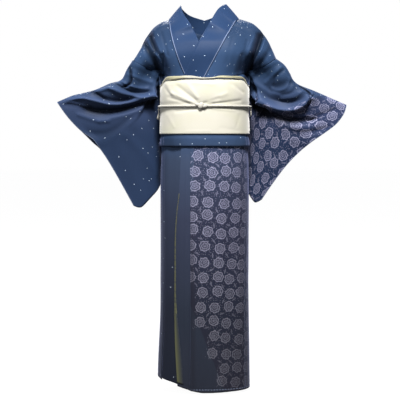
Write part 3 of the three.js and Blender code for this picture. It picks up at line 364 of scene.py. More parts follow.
def skirt_folds(deg, v, strength):
    """Sum of the skirt's folds: bells across lines that run from top to hem, then finer creases
    between two ends."""
    grow = ease(0.04, 0.4, v)
    total, fine = 0, 0
    for top, hem, rise, half in FOLDS_SKIRT:
        total = total + grow * rise * bump(turned(deg - mix(top, hem, v)), half)
    for deg0, v0, deg1, v1, rise, half in CREASES_SKIRT:
        share = (v - v0) / (v1 - v0)
        ends = ease(0, 0.18, share) * (1 - ease(0.82, 1, share))
        fine = fine + rise * ends * bump(turned(deg - mix(deg0, deg1, share)), half * (0.8 + 0.5 * share))
    return strength * total + min(strength, 1) * fine


def skirt_panel(start, end, out, columns, short=0.0, folds=1.0, seams=(1, 1)):
    """One panel of the skirt between two angles, as a layer of the figure from the tuck to the hem,
    with its folds, given as points and map. Each sewn edge turns in by a soft line."""
    v = np.linspace(0, 1, 190)[:, None] ** 1.15
    rough_z = mix(SKIRT_TOP_Z, HEM_Z, v)
    first = start(rough_z) if callable(start) else start
    last = end(rough_z) if callable(end) else end
    share = np.linspace(0, 1, columns)[None, :]
    deg = mix(first, last, share)
    z = mix(SKIRT_TOP_Z, hem_z(deg) + short, v)
    layer = GATHER * (1 - ease(0, 0.035, v)) + (out(deg) if callable(out) else out)
    pressed = seams[0] * bump((deg - first) * 2.4, 2.2) + seams[1] * bump((deg - last) * 2.4, 2.2)
    sewn_hem = 0.5 * bump((1 - v) * SKIRT_LONG - 11, 1.8)
    off = layer + hem_flare(deg, v) + folds_here(deg, v, folds) - 0.3 * pressed - sewn_hem * (folds > 0.5)
    return figure_point(deg, z, off), points_of(arc_of(deg), z, 0)


def folds_here(deg, v, strength):
    """The skirt's folds at that strength, with none of the fine ones below a half."""
    return skirt_folds(deg, v, strength) if strength > 0.5 else strength * skirt_folds(deg, v, 1)


def overlap_seam_deg(z):
    """Angle of the seam between the left front and its overlap."""
    return angle_of(OVERLAP_SEAM_X, z, LAYER_OVER)


def overlap_edge_deg(z):
    """Angle of the overlap's free edge, from the table of its x."""
    return angle_of(along(OVERLAP_EDGE, 1, z), z, LAYER_OVER)


def under_out(deg):
    """The right front leaves the side seam level with the back and dives under the left front."""
    return mix(LAYER_OVER, LAYER_UNDER, ease(-SIDE_SEAM + 2, -SIDE_SEAM + 18, deg))


def lining_edge():
    """The lining along the overlap's free edge: a strip on the overlap that widens to the hem."""
    v = mix(LINING_EDGE[0, 0], 0.985, np.linspace(0, 1, 150))[:, None]
    z = mix(SKIRT_TOP_Z, HEM_Z, v)
    share = np.linspace(0, 1, 12)[None, :]
    deg = overlap_edge_deg(z) + mix(0.3, along(LINING_EDGE, 1, v) / 2.1, share)
    rounded = 0.4 * np.sqrt(np.clip(1 - (2 * share - 1) ** 2, 0, 1))
    off = LAYER_OVER + hem_flare(deg, v) + folds_here(deg, v, 1) + 1.25 + rounded
    points = figure_point(deg, mix(SKIRT_TOP_Z, hem_z(deg), v), off)
    return points, points_of(share * 20 + 0 * v, z + 0 * share, 0)


def sleeve_middle(sleeve, s, t):
    """The middle of the sleeve, between its layers: a patch blended from its four edge lines."""
    def line(name, at):
        return points_of(*(along(sleeve[name], c, at) for c in (1, 2, 3)))

    def corner(name, at):
        return np.array([along(sleeve[name], c, at) for c in (1, 2, 3)])

    s1, t1 = s[..., None], t[..., None]
    edges = (line("inner", t) * (1 - s1) + line("outer", t) * s1
             + line("ridge", s) * (1 - t1) + line("bottom", s) * t1)
    corners = (corner("ridge", 0.0) * (1 - s1) * (1 - t1) + corner("ridge", 1.0) * s1 * (1 - t1)
               + corner("bottom", 0.0) * (1 - s1) * t1 + corner("bottom", 1.0) * s1 * t1)
    return edges - corners


def sleeve_half(s, t):
    """Half of the distance between the sleeve's layers: round over the arm, thin in the bag."""
    down = t * SLEEVE_DEPTH
    upper = mix(FULL_SHOULDER, FULL_ELBOW, s / ELBOW)
    full = np.where(s < ELBOW, upper, mix(FULL_ELBOW, FULL_CUFF, ease(ELBOW, 1, s)))
    rounded = np.sqrt(1 - (1 - np.clip(down / full, 0, 1)) ** 2)
    bag = mix(BAG_HALF, SEWN_HALF, ease(0.82, 1, s) * ease(CUFF - 0.06, CUFF + 0.02, t))
    thin = mix(full, bag, ease(full * 1.3, full * 1.3 + 130, down))
    fold = np.sqrt(np.clip((1 - t) * SLEEVE_DEPTH / bag, 0, 1))
    return rounded * mix(SEWN_HALF * 0.5, thin, fold)


# Finer creases of the sleeves, in the same columns as their folds.
CREASES_RIGHT = [
    ([(0.92, 0.06), (0.83, 0.133), (0.765, 0.196), (0.69, 0.246), (0.6, 0.292), (0.5, 0.342), (0.375, 0.416),
      (0.11, 0.57)], -4, 5, 17),
    ([(0.88, 0.03), (0.72, 0.088), (0.625, 0.184), (0.53, 0.27), (0.42, 0.34), (0.24, 0.47)], 4, 13, 6),
    ([(0.575, 0.02), (0.555, 0.113), (0.545, 0.196), (0.48, 0.245), (0.4, 0.3)], -4, 5, 11),
    ([(0.51, 0.03), (0.425, 0.07), (0.395, 0.171), (0.35, 0.28), (0.29, 0.4), (0.15, 0.52)], 4, 12, 6),
    ([(0.06, 0.0), (0.13, 0.096), (0.2, 0.15), (0.28, 0.145)], -7, 5, 5),
    ([(0.25, 0.02), (0.26, 0.1), (0.245, 0.17), (0.225, 0.25), (0.19, 0.38)], 5, 6, 5),
    ([(0.33, 0.03), (0.32, 0.14), (0.28, 0.27), (0.2, 0.44)], -5, 5, 7),
    ([(0.16, 0.01), (0.13, 0.2), (0.12, 0.40)], 4, 6, 7),
    ([(0.06, 0.03), (0.05, 0.24), (0.08, 0.46)], -9, 9, 9),
    ([(0.97, 0.33), (0.855, 0.404), (0.725, 0.432), (0.565, 0.438), (0.35, 0.5)], -2, 8, 16),
    ([(0.8, 0.32), (0.6, 0.37), (0.4, 0.46)], 4, 12, 10), ([(0.7, 0.52), (0.52, 0.9)], 2.5, 18, 18),
    ([(0.3, 0.56), (0.26, 0.95)], -3, 16, 16), ([(0.9, 0.2), (0.82, 0.3), (0.74, 0.35)], 3, 9, 7),
]
CREASES_LEFT = [
    ([(0.13, 0.552), (0.37, 0.44), (0.485, 0.378), (0.555, 0.31), (0.583, 0.24), (0.582, 0.17), (0.565, 0.1)],
     3.5, 14, 6),
    ([(0.1, 0.6), (0.37, 0.482), (0.5, 0.415), (0.585, 0.345), (0.62, 0.26)], -6, 5, 17),
    ([(0.66, 0.36), (0.75, 0.268), (0.79, 0.192), (0.87, 0.1)], -3, 10, 13),
    ([(0.14, 0.45), (0.22, 0.38), (0.31, 0.28), (0.39, 0.2), (0.43, 0.11)], 2.5, 11, 8),
    ([(0.12, 0.49), (0.255, 0.42), (0.36, 0.33), (0.455, 0.24), (0.5, 0.167), (0.5, 0.09)], -1.5, 6, 9),
    ([(0.4, 0.03), (0.455, 0.036), (0.515, 0.06), (0.56, 0.096), (0.6, 0.15), (0.61, 0.2)], -8, 4, 5),
    ([(0.26, 0.05), (0.3, 0.14), (0.29, 0.22), (0.24, 0.3)], 4, 8, 6),
    ([(0.36, 0.05), (0.38, 0.14), (0.34, 0.24)], -3, 6, 8),
    ([(0.45, 0.08), (0.44, 0.17), (0.38, 0.27)], 3, 6, 6),
    ([(0.05, 0.04), (0.04, 0.25), (0.07, 0.46)], -10, 9, 11),
    ([(0.11, 0.05), (0.12, 0.2), (0.17, 0.34)], 4, 7, 6),
    ([(0.15, 0.06), (0.16, 0.2), (0.22, 0.27)], -4, 5, 5),
    ([(0.84, 0.27), (0.76, 0.38), (0.6, 0.48)], 1.5, 12, 14),
    ([(0.98, 0.24), (0.88, 0.35), (0.78, 0.42), (0.62, 0.47)], -5, 10, 16),
    ([(0.3, 0.62), (0.24, 0.95)], -3, 16, 16), ([(0.6, 0.56), (0.46, 0.92)], 2.5, 18, 18),
    ([(0.1, 0.66), (0.12, 0.9)], -3, 12, 12),
]


def off_fold(line, s, t):
    """Distance on the sleeve from points to a smooth line through a fold's points, in steps of a
    sixth. It is less than 0 on the side towards the shoulder fold."""
    knots = np.column_stack([np.arange(len(line)), np.array(line, float)])
    at = np.linspace(0, len(line) - 1, 6 * len(line) - 5)
    path = np.stack([along(knots, 1, at) * SLEEVE_WIDTH, along(knots, 2, at) * SLEEVE_DEPTH], axis=1)
    x, y = s * SLEEVE_WIDTH, t * SLEEVE_DEPTH
    near, side = np.full(np.broadcast(x, y).shape, 1e9), 1.0
    for (x0, y0), (x1, y1) in zip(path[:-1], path[1:]):
        off, _ = off_line(x, y, x0, y0, x1, y1)
        below = np.sign((x1 - x0) * (y - y0) - (y1 - y0) * (x - x0))
        side = np.where(off < near, below, side)
        near = np.minimum(near, off)
    return near * side * (1 if line[-1][0] > line[0][0] else -1)


def sleeve_folds(folds, s, t):
    """Sum of the sleeve's folds: bells across smooth lines, each side with its own half width."""
    total = 0
    for line, rise, above, below in folds:
        off = off_fold(line, s, t)
        total = total + rise * bump(off, np.where(off < 0, above, below))
    return ease(0.01, 0.16, s) * (1 - ease(0.93, 1, s)) * total


def sleeve_point(sleeve, folds, s, t, face):
    """A point of the sleeve: its middle, plus or minus half its fullness and its folds along the
    patch's normal. face is -1 for the front layer and 1 for the back."""
    s, t, face = np.broadcast_arrays(np.asarray(s, float), np.asarray(t, float), face)
    e = 0.01
    turn = ease(1 - SLEEVE_CORNER / SLEEVE_WIDTH * 1.6, 1, s)
    depth = t * (1 - SLEEVE_CORNER * (1 - np.sqrt(1 - turn ** 2)) / SLEEVE_DEPTH * t)
    (s0, s1), (t0, t1) = ((np.maximum(0, at - e), np.minimum(1, at + e)) for at in (s, depth))
    ds = sleeve_middle(sleeve, s1, depth) - sleeve_middle(sleeve, s0, depth)
    dt = sleeve_middle(sleeve, s, t1) - sleeve_middle(sleeve, s, t0)
    normal = unit(np.cross(ds, dt))
    normal *= np.where(normal[..., 1:2] > 0, -1, 1)
    half = sleeve_half(s, t)
    fold = ease(0, 0.08, t) * (1 - ease(0.9, 1, t)) * sleeve_folds(folds, s, t)
    follow = np.clip(1 - (half - BAG_HALF) / 40, 0.15, 0.88)
    off = half + fold * np.where(face < 0, 1, -follow)
    return sleeve_middle(sleeve, s, depth) - (face * off)[..., None] * normal


def sleeve_surface(sleeve, folds, rows, around):
    """The whole sleeve: rows from armhole to cuff, columns down the front and up the back."""
    s = (np.linspace(0, 1, rows) ** 0.95)[:, None]
    i = np.linspace(0, 1, around)
    t = np.where(i <= KNEE, ARMHOLE * (i / KNEE) ** 1.5,
                 1 - (1 - ARMHOLE) * (np.clip(1 - i, 0, 1) / (1 - KNEE)) ** 1.15)
    ts = np.concatenate([t, t[1:-1][::-1]])[None, :]
    face = np.concatenate([np.full(around, -1.0), np.full(around - 2, 1.0)])[None, :]
    # The front of the right cuff is drawn back a little and shows the inside of the back layer.
    drawn = 0.026 * ease(0.75, 1, s) * bump(ts - 0.39, 0.06) * (face < 0) * (sleeve is SLEEVE_RIGHT)
    points = sleeve_point(sleeve, folds, s - drawn, ts, face)
    # Below the armpit the front layer's open edge hangs in against the body.
    inward = 11 * bump((ts - 0.482) * SLEEVE_DEPTH, 7) + 5 * bump((ts - 0.515) * SLEEVE_DEPTH, 12)
    inward = inward + 16 * ease(0.462, 0.48, ts) * (1 - ease(0.525, 0.56, ts))
    points[..., 0] -= np.sign(points[..., 0]) * inward * (face < 0) * (1 - ease(0, 0.1, s))
    middle = sleeve_point(sleeve, [], s, ts, 0 * face)
    v = np.concatenate([-t, -(2 - t[1:-1][::-1]), [-2.0]]) * SLEEVE_DEPTH
    # The fold attribute: painted shade in the hollows of the front's folds and painted highlight on their
    # ridges, weaker and turned over on the back.
    fold = sleeve_folds(folds, s, ts) * np.where(face < 0, 1, -0.6)
    # On the left sleeve the upper front towards the cuff is painted lighter, a highlight on the ridge there.
    if sleeve is SLEEVE_LEFT:
        fold = fold + 30 * ease(0.6, 0.82, s) * (1 - ease(0.22, 0.42, ts)) * (face < 0)
    return points, middle, points_of(s * SLEEVE_WIDTH, v[None, :], 0), fold


SIDES = {
    "left": (SLEEVE_LEFT, FOLDS_SLEEVE_LEFT, COLLAR_LEFT, 1),
    "right": (SLEEVE_RIGHT, FOLDS_SLEEVE_RIGHT, COLLAR_RIGHT, -1),
}
# Finer creases of the body, in the same columns as its folds.
CREASES_BODY = [
    (-1, -206, -58, -150, -150, 3, 5), (-1, -176, -60, -136, -150, 2.5, 5),
    (-1, -150, -40, -128, -120, -2, 6), (-1, -146, -120, -118, -204, -5, 6),
    (-1, 178, -50, 146, -140, 2.5, 5), (-1, 214, -70, 168, -170, 3, 5),
    (-1, -196, -40, -146, -200, -9, 9), (-1, 208, -44, 150, -200, -10, 10),
    (-1, 132, -120, 118, -204, -3, 6), (-1, 150, -70, 128, -170, -1.8, 6),
    (-1, 120, -120, 98, -200, 1.4, 7), (-1, 100, -60, 76, -150, -1.0, 8),
    (1, -190, -60, -140, -170, 3, 6), (1, 190, -60, 140, -170, 3, 6), (1, -120, -60, -96, -180, -1.6, 8),
    (1, 120, -60, 96, -180, -1.6, 8), (1, -40, -70, -22, -190, 1.2, 8), (1, 44, -70, 26, -190, -1.2, 8),
]


def chest_y(x, z, face):
    """How far the upper body stands forward or back of the shoulder fold: a rounded drop from the
    shoulder that becomes the padded figure at the waist."""
    wide = np.abs(x - SHOULDER_MIDDLE_X * ease(-200, -60, z))
    drop = np.maximum(0, along(SHOULDER, 1, wide) - z)
    reach = mix(150, 46, ease(120, 250, wide))
    full = mix(117 if face < 0 else 108, 44, ease(70, 235, wide))
    power = mix(0.66, 0.5, ease(100, 230, wide))
    chest = full * (1 - (1 - np.clip(drop / reach, 0, 1)) ** 2) ** power
    across = np.minimum(1, np.abs(x - FIGURE_X) / along(FIGURE, 1, z))
    waist = along(FIGURE, 2 if face < 0 else 3, z) * (1 - across ** SQUARENESS) ** (1 / SQUARENESS)
    return face * mix(chest, waist, ease(-100, -205, z))


def body_folds(x, z, face):
    """Sum of the body's folds on one face: bells across straight lines with rounded ends."""
    total = 0
    for fold_face, x0, z0, x1, z1, rise, half in FOLDS_BODY + CREASES_BODY:
        if fold_face == face:
            total = total + rise * bump(off_line(x, z, x0, z0, x1, z1)[0], half)
    return total


def collar_line(side, at, edge):
    """The collar's sewn edge or free edge, as points on the body, from back to front."""
    table = SIDES[side][2]
    first = 4 if edge else 1
    x, z = along(table, first, at), along(table, first + 2, at)
    lift = (BODY_OVER if side == "left" else BODY_UNDER) * ease(-20, -80, z)
    known = table[~np.isnan(table[:, first + 1])]
    last, following = known[-1, 0], table[len(known), 0]
    free = along(known, first + 1, np.minimum(at, last))
    return points_of(x, mix(free, chest_y(x, z, -1) - lift, ease(last, following, at)), z)


def inner_edge(side, k, face):
    """The inner edge of a body panel: along the collar in front, and behind along the neckline and
    then the middle seam of the back. k is 0 on the shoulder and 1 at the waist."""
    if face < 0:
        return collar_line(side, mix(NECK_AT, 1, k), False)
    neckline = collar_line(side, NECK_AT * (1 - np.minimum(k / BACK_NECK, 1)), False)
    neck = collar_line(side, np.array([0.0]), False)[0]
    v = np.clip((k - BACK_NECK) / (1 - BACK_NECK), 0, 1)
    z = mix(neck[2], WAIST_Z + 30, v)
    middle = points_of(0 * z, mix(neck[1], chest_y(0 * z, z, 1) + BODY_OVER, ease(0, 0.7, v)), z)
    return np.where((k < BACK_NECK)[..., None], neckline, middle)


def upper_body(side, k, s, face):
    """The body above the waist: from the inner edge at s 0 to the armhole at s 1, along lines that
    follow the shoulder's slope, on the chest or back, with the folds."""
    sleeve, folds, _, sign = SIDES[side]
    gap = np.where((face > 0) & (k > BACK_NECK), 0.2, -1.5)
    inner = inner_edge(side, k, face) + points_of(sign * gap, 0, 0)
    armhole = sleeve_point(sleeve, folds, 0 * k, ARMHOLE * k ** 1.5, face)
    armhole = armhole + points_of(-sign * mix(0.6, 1.0, ease(0.72, 1, k)), 0, -0.6 * ease(0.72, 1, k))
    xi, yi, zi = inner[..., 0], inner[..., 1], inner[..., 2]
    xa, ya, za = armhole[..., 0], armhole[..., 1], armhole[..., 2]

    def shoulder(x):
        return along(SHOULDER, 1, np.abs(x - SHOULDER_MIDDLE_X))

    x = mix(xi, xa, s)
    drop = mix(shoulder(xi) - zi, shoulder(xa) - za, s)
    z = mix(shoulder(x) - drop, mix(zi, za, s), k)
    out = BODY_OVER if side == "left" else BODY_UNDER

    def layered(px, pz):
        return chest_y(px, pz, face) + face * out * ease(0, -80, pz) * (1 - ease(60, 190, np.abs(px)))

    near = 3 if face > 0 else 2
    fix = (1 - s) ** near * (yi - layered(xi, zi)) + s ** 2 * (ya - layered(xa, za))
    crease = body_folds(x, z, face) * (1 - ease(0.9, 1, s)) * ease(0, 0.1, s)
    return points_of(x, layered(x, z) + fix + face * crease, z)


def lower_rows(front, tucked):
    """Rows of a body panel from the waist to its lower end: z, layer, lift at the side."""
    plain = BODY_OVER if tucked else BODY_UNDER
    levels = [0, 0.14, 0.28, 0.42, 0.56, 0.7, 0.85, 1] if front else [0, 0.5, 1]
    rows = [(mix(WAIST_Z, -384, v), plain, WAIST_SIDE_RISE if v == 0 else 0) for v in levels]
    if tucked:
        middle = (TUCK_OUTER + TUCK_INNER) / 2 - CLOTH / 2
        inner = TUCK_INNER - CLOTH
        rows += [(-391, OBI_INNER - 0.8, 0), (-404, OBI_INNER - 0.8, 0), (-412, TUCK_OUTER - 0.2, 0),
                 (-420, TUCK_OUTER, 0), (TUCK_BOTTOM_Z + 4, TUCK_OUTER, 0),
                 (TUCK_BOTTOM_Z + 0.8, TUCK_OUTER - 0.7, 0), (TUCK_BOTTOM_Z, middle, 0),
                 (TUCK_BOTTOM_Z + 0.8, inner + 0.7, 0), (TUCK_BOTTOM_Z + 4, inner, 0), (TUCK_TOP_Z, inner, 0)]
    return rows


# Small pleats where the tuck is gathered under the obi: degrees, rise out, half width in degrees.
PLEATS_TUCK = [
    (-46, 0.9, 4), (-30, -0.8, 3), (-9, 1.0, 4), (12, -0.7, 4), (30, 0.8, 5), (52, -0.8, 4), (-58, -0.7, 3),
    (110, 1.0, 6), (150, -0.9, 6), (-120, 1, 6),
]


def lower_body(side, row, s, face):
    """One row of the body below the waist, as a layer of the figure from the inner edge to the
    side seam."""
    sign = SIDES[side][3]
    z, out, rise = row
    down = ease(WAIST_Z + 20, OBI_BOTTOM_Z, z)
    if face > 0:
        inner = sign * (180 - SEAM)
    else:
        inner = mix(-7.5, TUCK_EDGE, down) if side == "left" else mix(-27, 2, down)
    seam = mix(WAIST_SEAM, SIDE_SEAM, ease(WAIST_Z, OBI_BOTTOM_Z, z))
    deg = mix(inner, sign * (seam + (SEAM if face > 0 else -SEAM)), s)
    soft = 0.0
    if z < OBI_BOTTOM_Z and out > OBI_INNER:
        lower = ease(OBI_BOTTOM_Z, -420, z)
        for centre, rise_out, half in PLEATS_TUCK:
            soft = soft + lower * rise_out * bump(turned(deg - centre), half)
    return figure_point(deg, z + rise * s ** 3 + 0 * s, out + soft + (10 * s ** 4 if rise else 0))


def smooth_rows(rows, count):
    """Rows of points made finer: a cubic line through each column of the stack, by the mean
    distance from row to row."""
    stack = np.stack(rows)
    step = np.linalg.norm(np.diff(stack, axis=0), axis=2).mean(axis=1)
    at = np.concatenate([[0], np.cumsum(step)])
    want = np.linspace(0, at[-1], count)
    i = np.clip(np.searchsorted(at, want, side="right") - 1, 0, len(at) - 2)
    h = (at[i + 1] - at[i])[:, None, None]
    return cubic(at, stack, i, (want - at[i])[:, None, None] / h, h), want


def body_surface(side, columns):
    """A body panel in one length: from the front's lower end up over the shoulder and down the
    back, with the tuck under the obi folded out and back up."""
    s = np.linspace(0, 1, columns)
    halves = []
    for face in (-1, 1):
        tucked = face > 0 or side == "left"
        ks = np.linspace(0, 1, 43)
        upper = upper_body(side, ks[:, None] + 0 * s[None, :], s[None, :] + 0 * ks[:, None], face)
        rows = [*upper, *(lower_body(side, row, s, face) for row in lower_rows(face < 0, tucked))]
        halves.append(rows)
    points, run = smooth_rows(halves[0][::-1] + halves[1][1:], 300)
    width = 300.0 * s[None, :]
    return points, points_of(width, run[:, None], 0)


def collar_surface(rows, columns):
    """The collar: one band round the neck, straight from its sewn edge to its free edge, lifted off
    the panels and rounded out between, with a pressed line beside the seam."""
    ats = np.concatenate([np.linspace(0, NECK_AT, rows), np.linspace(NECK_AT, 1, 2 * rows)[1:]])
    seam = np.concatenate([collar_line("right", ats, False)[::-1], collar_line("left", ats, False)[1:]])
    edge = np.concatenate([collar_line("right", ats, True)[::-1], collar_line("left", ats, True)[1:]])
    run = np.gradient(seam + edge, axis=0)
    normal = unit(np.cross(edge - seam, run))
    w = np.linspace(0, 1, columns)[None, :]
    width = np.linalg.norm(edge - seam, axis=1)[:, None]
    pressed = 0.55 * bump(w * width - 9, 1.6) + 0.25 * bump((1 - w) * width - 5, 2.5)
    rolled = 0.9 * bump((1 - w) * width, 2.2) + 0.7 * bump(w * width, 2.0)
    lift = COLLAR_CLOTH + 0.5 + 0.5 * np.sin(np.pi * w) - pressed - rolled
    points = mix(seam[:, None, :], edge[:, None, :], w[..., None]) + lift[..., None] * normal[:, None, :]
    length = way_along(seam + edge) / 2
    return points, points_of(w * width, length[:, None], 0)


# Creases of the obi's front: x0, z0, x1, z1, rise out, half width.
CREASES_OBI = [
    (-92, -230, -28, -280, -2.6, 8), (-108, -254, -36, -290, 1.8, 6), (-58, -220, -22, -272, 1.6, 8),
    (-142, -224, -116, -262, -1.4, 6), (-130, -222, -104, -258, 1.2, 7), (-122, -268, -52, -292, -1.6, 5),
    (48, -272, 2, -288, -2.0, 6), (74, -256, 14, -284, 1.4, 7), (124, -280, 30, -292, -2.2, 5),
    (96, -222, 132, -250, -1.6, 7), (-40, -216, 36, -224, 1.0, 8), (-96, -318, -20, -309, -1.2, 5),
    (104, -316, 30, -309, 0.8, 4), (-60, -390, 20, -386, 0.5, 6), (60, -376, 118, -384, -0.5, 7),
    (-128, -330, -104, -372, 0.7, 6), (126, -330, 112, -372, -0.7, 6),
]


def front_only(deg):
    """1 in front, falling to 0 at the sides."""
    return ease(98, 40, np.abs(deg))


def side_drop(deg):
    """The obi's top edge is lower at both sides, where the bodice hangs over it."""
    return 24 * ease(56, 76, np.abs(deg)) * (1 - ease(104, 140, np.abs(deg)))


def obi_top(deg):
    """Height of the obi's top edge: a little lower in the middle and at the front's right."""
    return OBI_TOP_Z - 2.5 * bump(deg, 16) - 6 * bump(deg + 48, 14) - side_drop(deg)


def obi_out(deg, z):
    """How far the obi's outer face stands off the figure: its profile, and the puff in front."""
    return OBI_OUT + along(OBI_PROFILE, 1, z) + along(OBI_PROFILE, 2, z) * front_only(deg)


def obi_surface(rows, around):
    """The wrapped obi: a ring of layers on the figure, with folded edges rounded in and creases
    that run to the knot."""
    deg = np.linspace(-180, 180, around, endpoint=False)[None, :]
    top = obi_top(deg)
    z = mix(top, OBI_BOTTOM_Z, np.linspace(0, 1, rows)[:, None])
    x = figure_point(deg, z, OBI_OUT)[..., 0]
    crease = 0
    for x0, z0, x1, z1, rise, half in CREASES_OBI:
        off, share = off_line(x, z, x0, z0, x1, z1)
        crease = crease + rise * bump(off, half * (1.15 - 0.3 * share)) * ease(0, 0.12, share + 0.1)
    edge = np.minimum(top - z, z - OBI_BOTTOM_Z)
    rounded = 1.6 * (1 - np.sqrt(np.clip(1 - (1 - np.clip(edge / 4, 0, 1)) ** 2, 0, 1)))
    rounded = rounded + 1.6 * (1 - ease(0, 16, top - z)) * front_only(deg)
    behind = 0.5 * np.sin(np.radians(deg * 3)) * bump(z + 330, 40) * (np.abs(deg) > 80)
    off = obi_out(deg, z) + crease * (np.abs(deg) < 92) * ease(0, 10, edge) - rounded + behind
    uv = np.concatenate([deg, [[180.0]]], axis=1)
    return figure_point(deg, z, off), points_of(arc_of(uv), np.concatenate([z, z[:, :1]], axis=1), 0)


def ring_tube(path, across, up, sides, turn):
    """A soft tube carried along a closed path: an ellipse with its own half sizes at each point.
    turn gives a swelling by the angle round the tube."""
    run = unit(np.roll(path, -1, axis=0) - np.roll(path, 1, axis=0))
    out = unit(np.cross(run, [0, 0, 1]))
    rise = np.cross(out, run)
    a = np.linspace(0, 2 * np.pi, sides, endpoint=False)[None, :]
    swell = turn(np.arange(len(path))[:, None], a)
    across, up = np.asarray(across)[:, None] * swell, np.asarray(up)[:, None] * swell
    return (path[:, None, :] + (across * np.cos(a))[..., None] * out[:, None, :]
            + (up * np.sin(a))[..., None] * rise[:, None, :])


def obiage_surface(around, sides):
    """The obiage: a soft band along the obi's top edge, fuller at the sides, with slanting pleats
    that run round it."""
    deg = np.linspace(-180, 180, around, endpoint=False)
    behind = ease(50, 76, np.abs(deg))
    low = obi_top(deg) + 0.4
    high = OBI_TOP_Z + mix(mix(3.6, 9.5, ease(4, 24, np.abs(deg - 2))), 4.6, behind) - side_drop(deg)
    rise = (high - low) / 2
    path = figure_point(deg, low + rise, mix(16.8, 15.4, behind))
    half = mix(3.2, 1.7, behind)

    def pleats(i, a):
        d = deg[i]
        fade = 1 - ease(60, 90, np.abs(d))
        return 1 + fade * (0.10 * np.sin(a * 3 + d * 0.11) + 0.06 * np.sin(a * 5 - d * 0.23) - 0.03)

    return ring_tube(path, half, rise, sides, pleats)


# ---------- meshes ----------
CORNERS = ((0, 0), (1, 0), (1, 1), (0, 1))


def grid_faces(rows, columns, ring=0, closed=0):
    """Corner numbers of a grid's faces. ring 1 joins the last column to the first, and closed 1 the
    last row to the first."""
    i, j = np.arange(rows - 1 + closed)[:, None], np.arange(columns - 1 + ring)[None, :]
    faces = [(i + a) % rows * columns + (j + b) % columns for a, b in CORNERS]
    return np.stack(faces, axis=-1).reshape(-1, 4)


def make_object(name, points, faces, uv=None, uv_faces=None):
    """A mesh object of points in millimetres, with smooth faces and a map in metres."""
    mesh = bpy.data.meshes.new(name)
    mesh.from_pydata(np.asarray(points) * 0.001, [], faces.tolist())
    mesh.polygons.foreach_set("use_smooth", np.ones(len(mesh.polygons), bool))
    if uv is not None:
        layer = mesh.uv_layers.new(name="cloth")
        corners = uv[uv_faces.reshape(-1)][:, :2] * 0.001
        layer.data.foreach_set("uv", corners.astype(np.float32).ravel())
    mesh.update()
    piece = bpy.data.objects.new(name, mesh)
    bpy.context.scene.collection.objects.link(piece)
    return piece


def surface_object(name, points, uv, inside, ring=False, fold=None):
    """A grid made a mesh whose faces look away from the points or the axis in inside. fold is kept
    as the attribute from which the material paints shade into hollows and highlight onto ridges."""
    rows, columns = points.shape[:2]
    faces = grid_faces(rows, columns, ring=int(ring))
    # The map of a ring has one column more, so that it doesn't run back where the ring closes.
    uv_faces = grid_faces(rows, columns + 1) if ring else faces
    listed = points.reshape(-1, 3)
    a, b, c = (listed[faces[:, k]] for k in (0, 1, 2))
    # The order of a face's corners gives the way it looks.
    if (np.cross(b - a, c - a) * (points - inside).reshape(-1, 3)[faces[:, 0]]).sum() < 0:
        faces, uv_faces = faces[:, ::-1], uv_faces[:, ::-1]
    piece = make_object(name, listed, faces, uv.reshape(-1, 3), uv_faces)
    if fold is not None:
        # The attribute holds painted shade for hollows and painted highlight for ridges, by the fold's
        # height.
        depth = piece.data.attributes.new("fold", "FLOAT", "POINT")
        depth.data.foreach_set("value", np.clip(fold / FOLD_SHADE_FULL, -1, 1).astype(np.float32).ravel())
    return piece


def finish_piece(piece, nodes, material):
    """Hands the piece over: its material, its body and the nodes it stands for."""
    piece.data.materials.append(material)
    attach(piece, "root")
    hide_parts(*nodes)


def cloth_piece(name, node, surface, inside, thickness, slot, material, flat, held="hung", **shape):
    """A sheet of cloth: its surface (points and map), thickened inwards and handed over."""
    piece = surface_object(name, *surface, inside, **shape)
    solidify = piece.modifiers.new("Cloth", "SOLIDIFY")
    solidify.thickness = thickness
    solidify.offset = -1
    solidify.use_rim = True
    finish_piece(piece, [node], material)


def body_axis(points):
    """The middle line of the body at each point's height."""
    return points_of(FIGURE_X, 0, points[..., 2])


# ---------- finishes ----------
FULL_TURN = 2 * np.pi
ROSE_LEAN, ROSE_JITTER = 0.07, 0.24  # the rows' lean in radians, how far a rose leaves its row
ROSE_WIDE, ROSE_DEEP = 0.95, 1.04  # a rose's field, as shares of the pitch
DOT_JITTER, DOTS_LEFT_OUT, DOT_SIZE = 0.95, 0.22, 0.0014
GROUND_TOP, GROUND_FALL = 0.07, 1.40  # height and length in metres of the ground's ramp, the silk's own shift and painted light falloff


class Number:
    """A number that a material's nodes work out, written with the plain signs of arithmetic."""

    def __init__(self, shade, socket):
        self.shade, self.socket = shade, socket

    def __add__(self, other):
        return self.shade.math("ADD", self, other)

    def __sub__(self, other):
        return self.shade.math("SUBTRACT", self, other)

    def __rsub__(self, other):
        return self.shade.math("SUBTRACT", other, self)

    def __mul__(self, other):
        return self.shade.math("MULTIPLY", self, other)

    def __truediv__(self, other):
        return self.shade.math("DIVIDE", self, other)

    def __pow__(self, other):
        return self.shade.math("POWER", self, other)

    def __lt__(self, other):
        return self.shade.math("LESS_THAN", self, other)

    def __gt__(self, other):
        return self.shade.math("GREATER_THAN", self, other)

    def __abs__(self):
        return self.shade.math("ABSOLUTE", self)

    def clamped(self):
        """The same number, kept between 0 and 1."""
        self.socket.node.use_clamp = True
        return self

    __radd__, __rmul__ = __add__, __mul__


def times(colour, factor):
    """A colour as three plain numbers, times one factor or three."""
    return tuple(np.array(colour) * factor)


def set_ramp(ramp, stops):
    """Gives a colour ramp its stops."""
    while len(ramp.elements) < len(stops):
        ramp.elements.new(0.5)
    for element, (at, _) in zip(ramp.elements, stops):
        element.position = at
    for element, (_, colour) in zip(ramp.elements, stops):
        element.color = (*colour, 1)


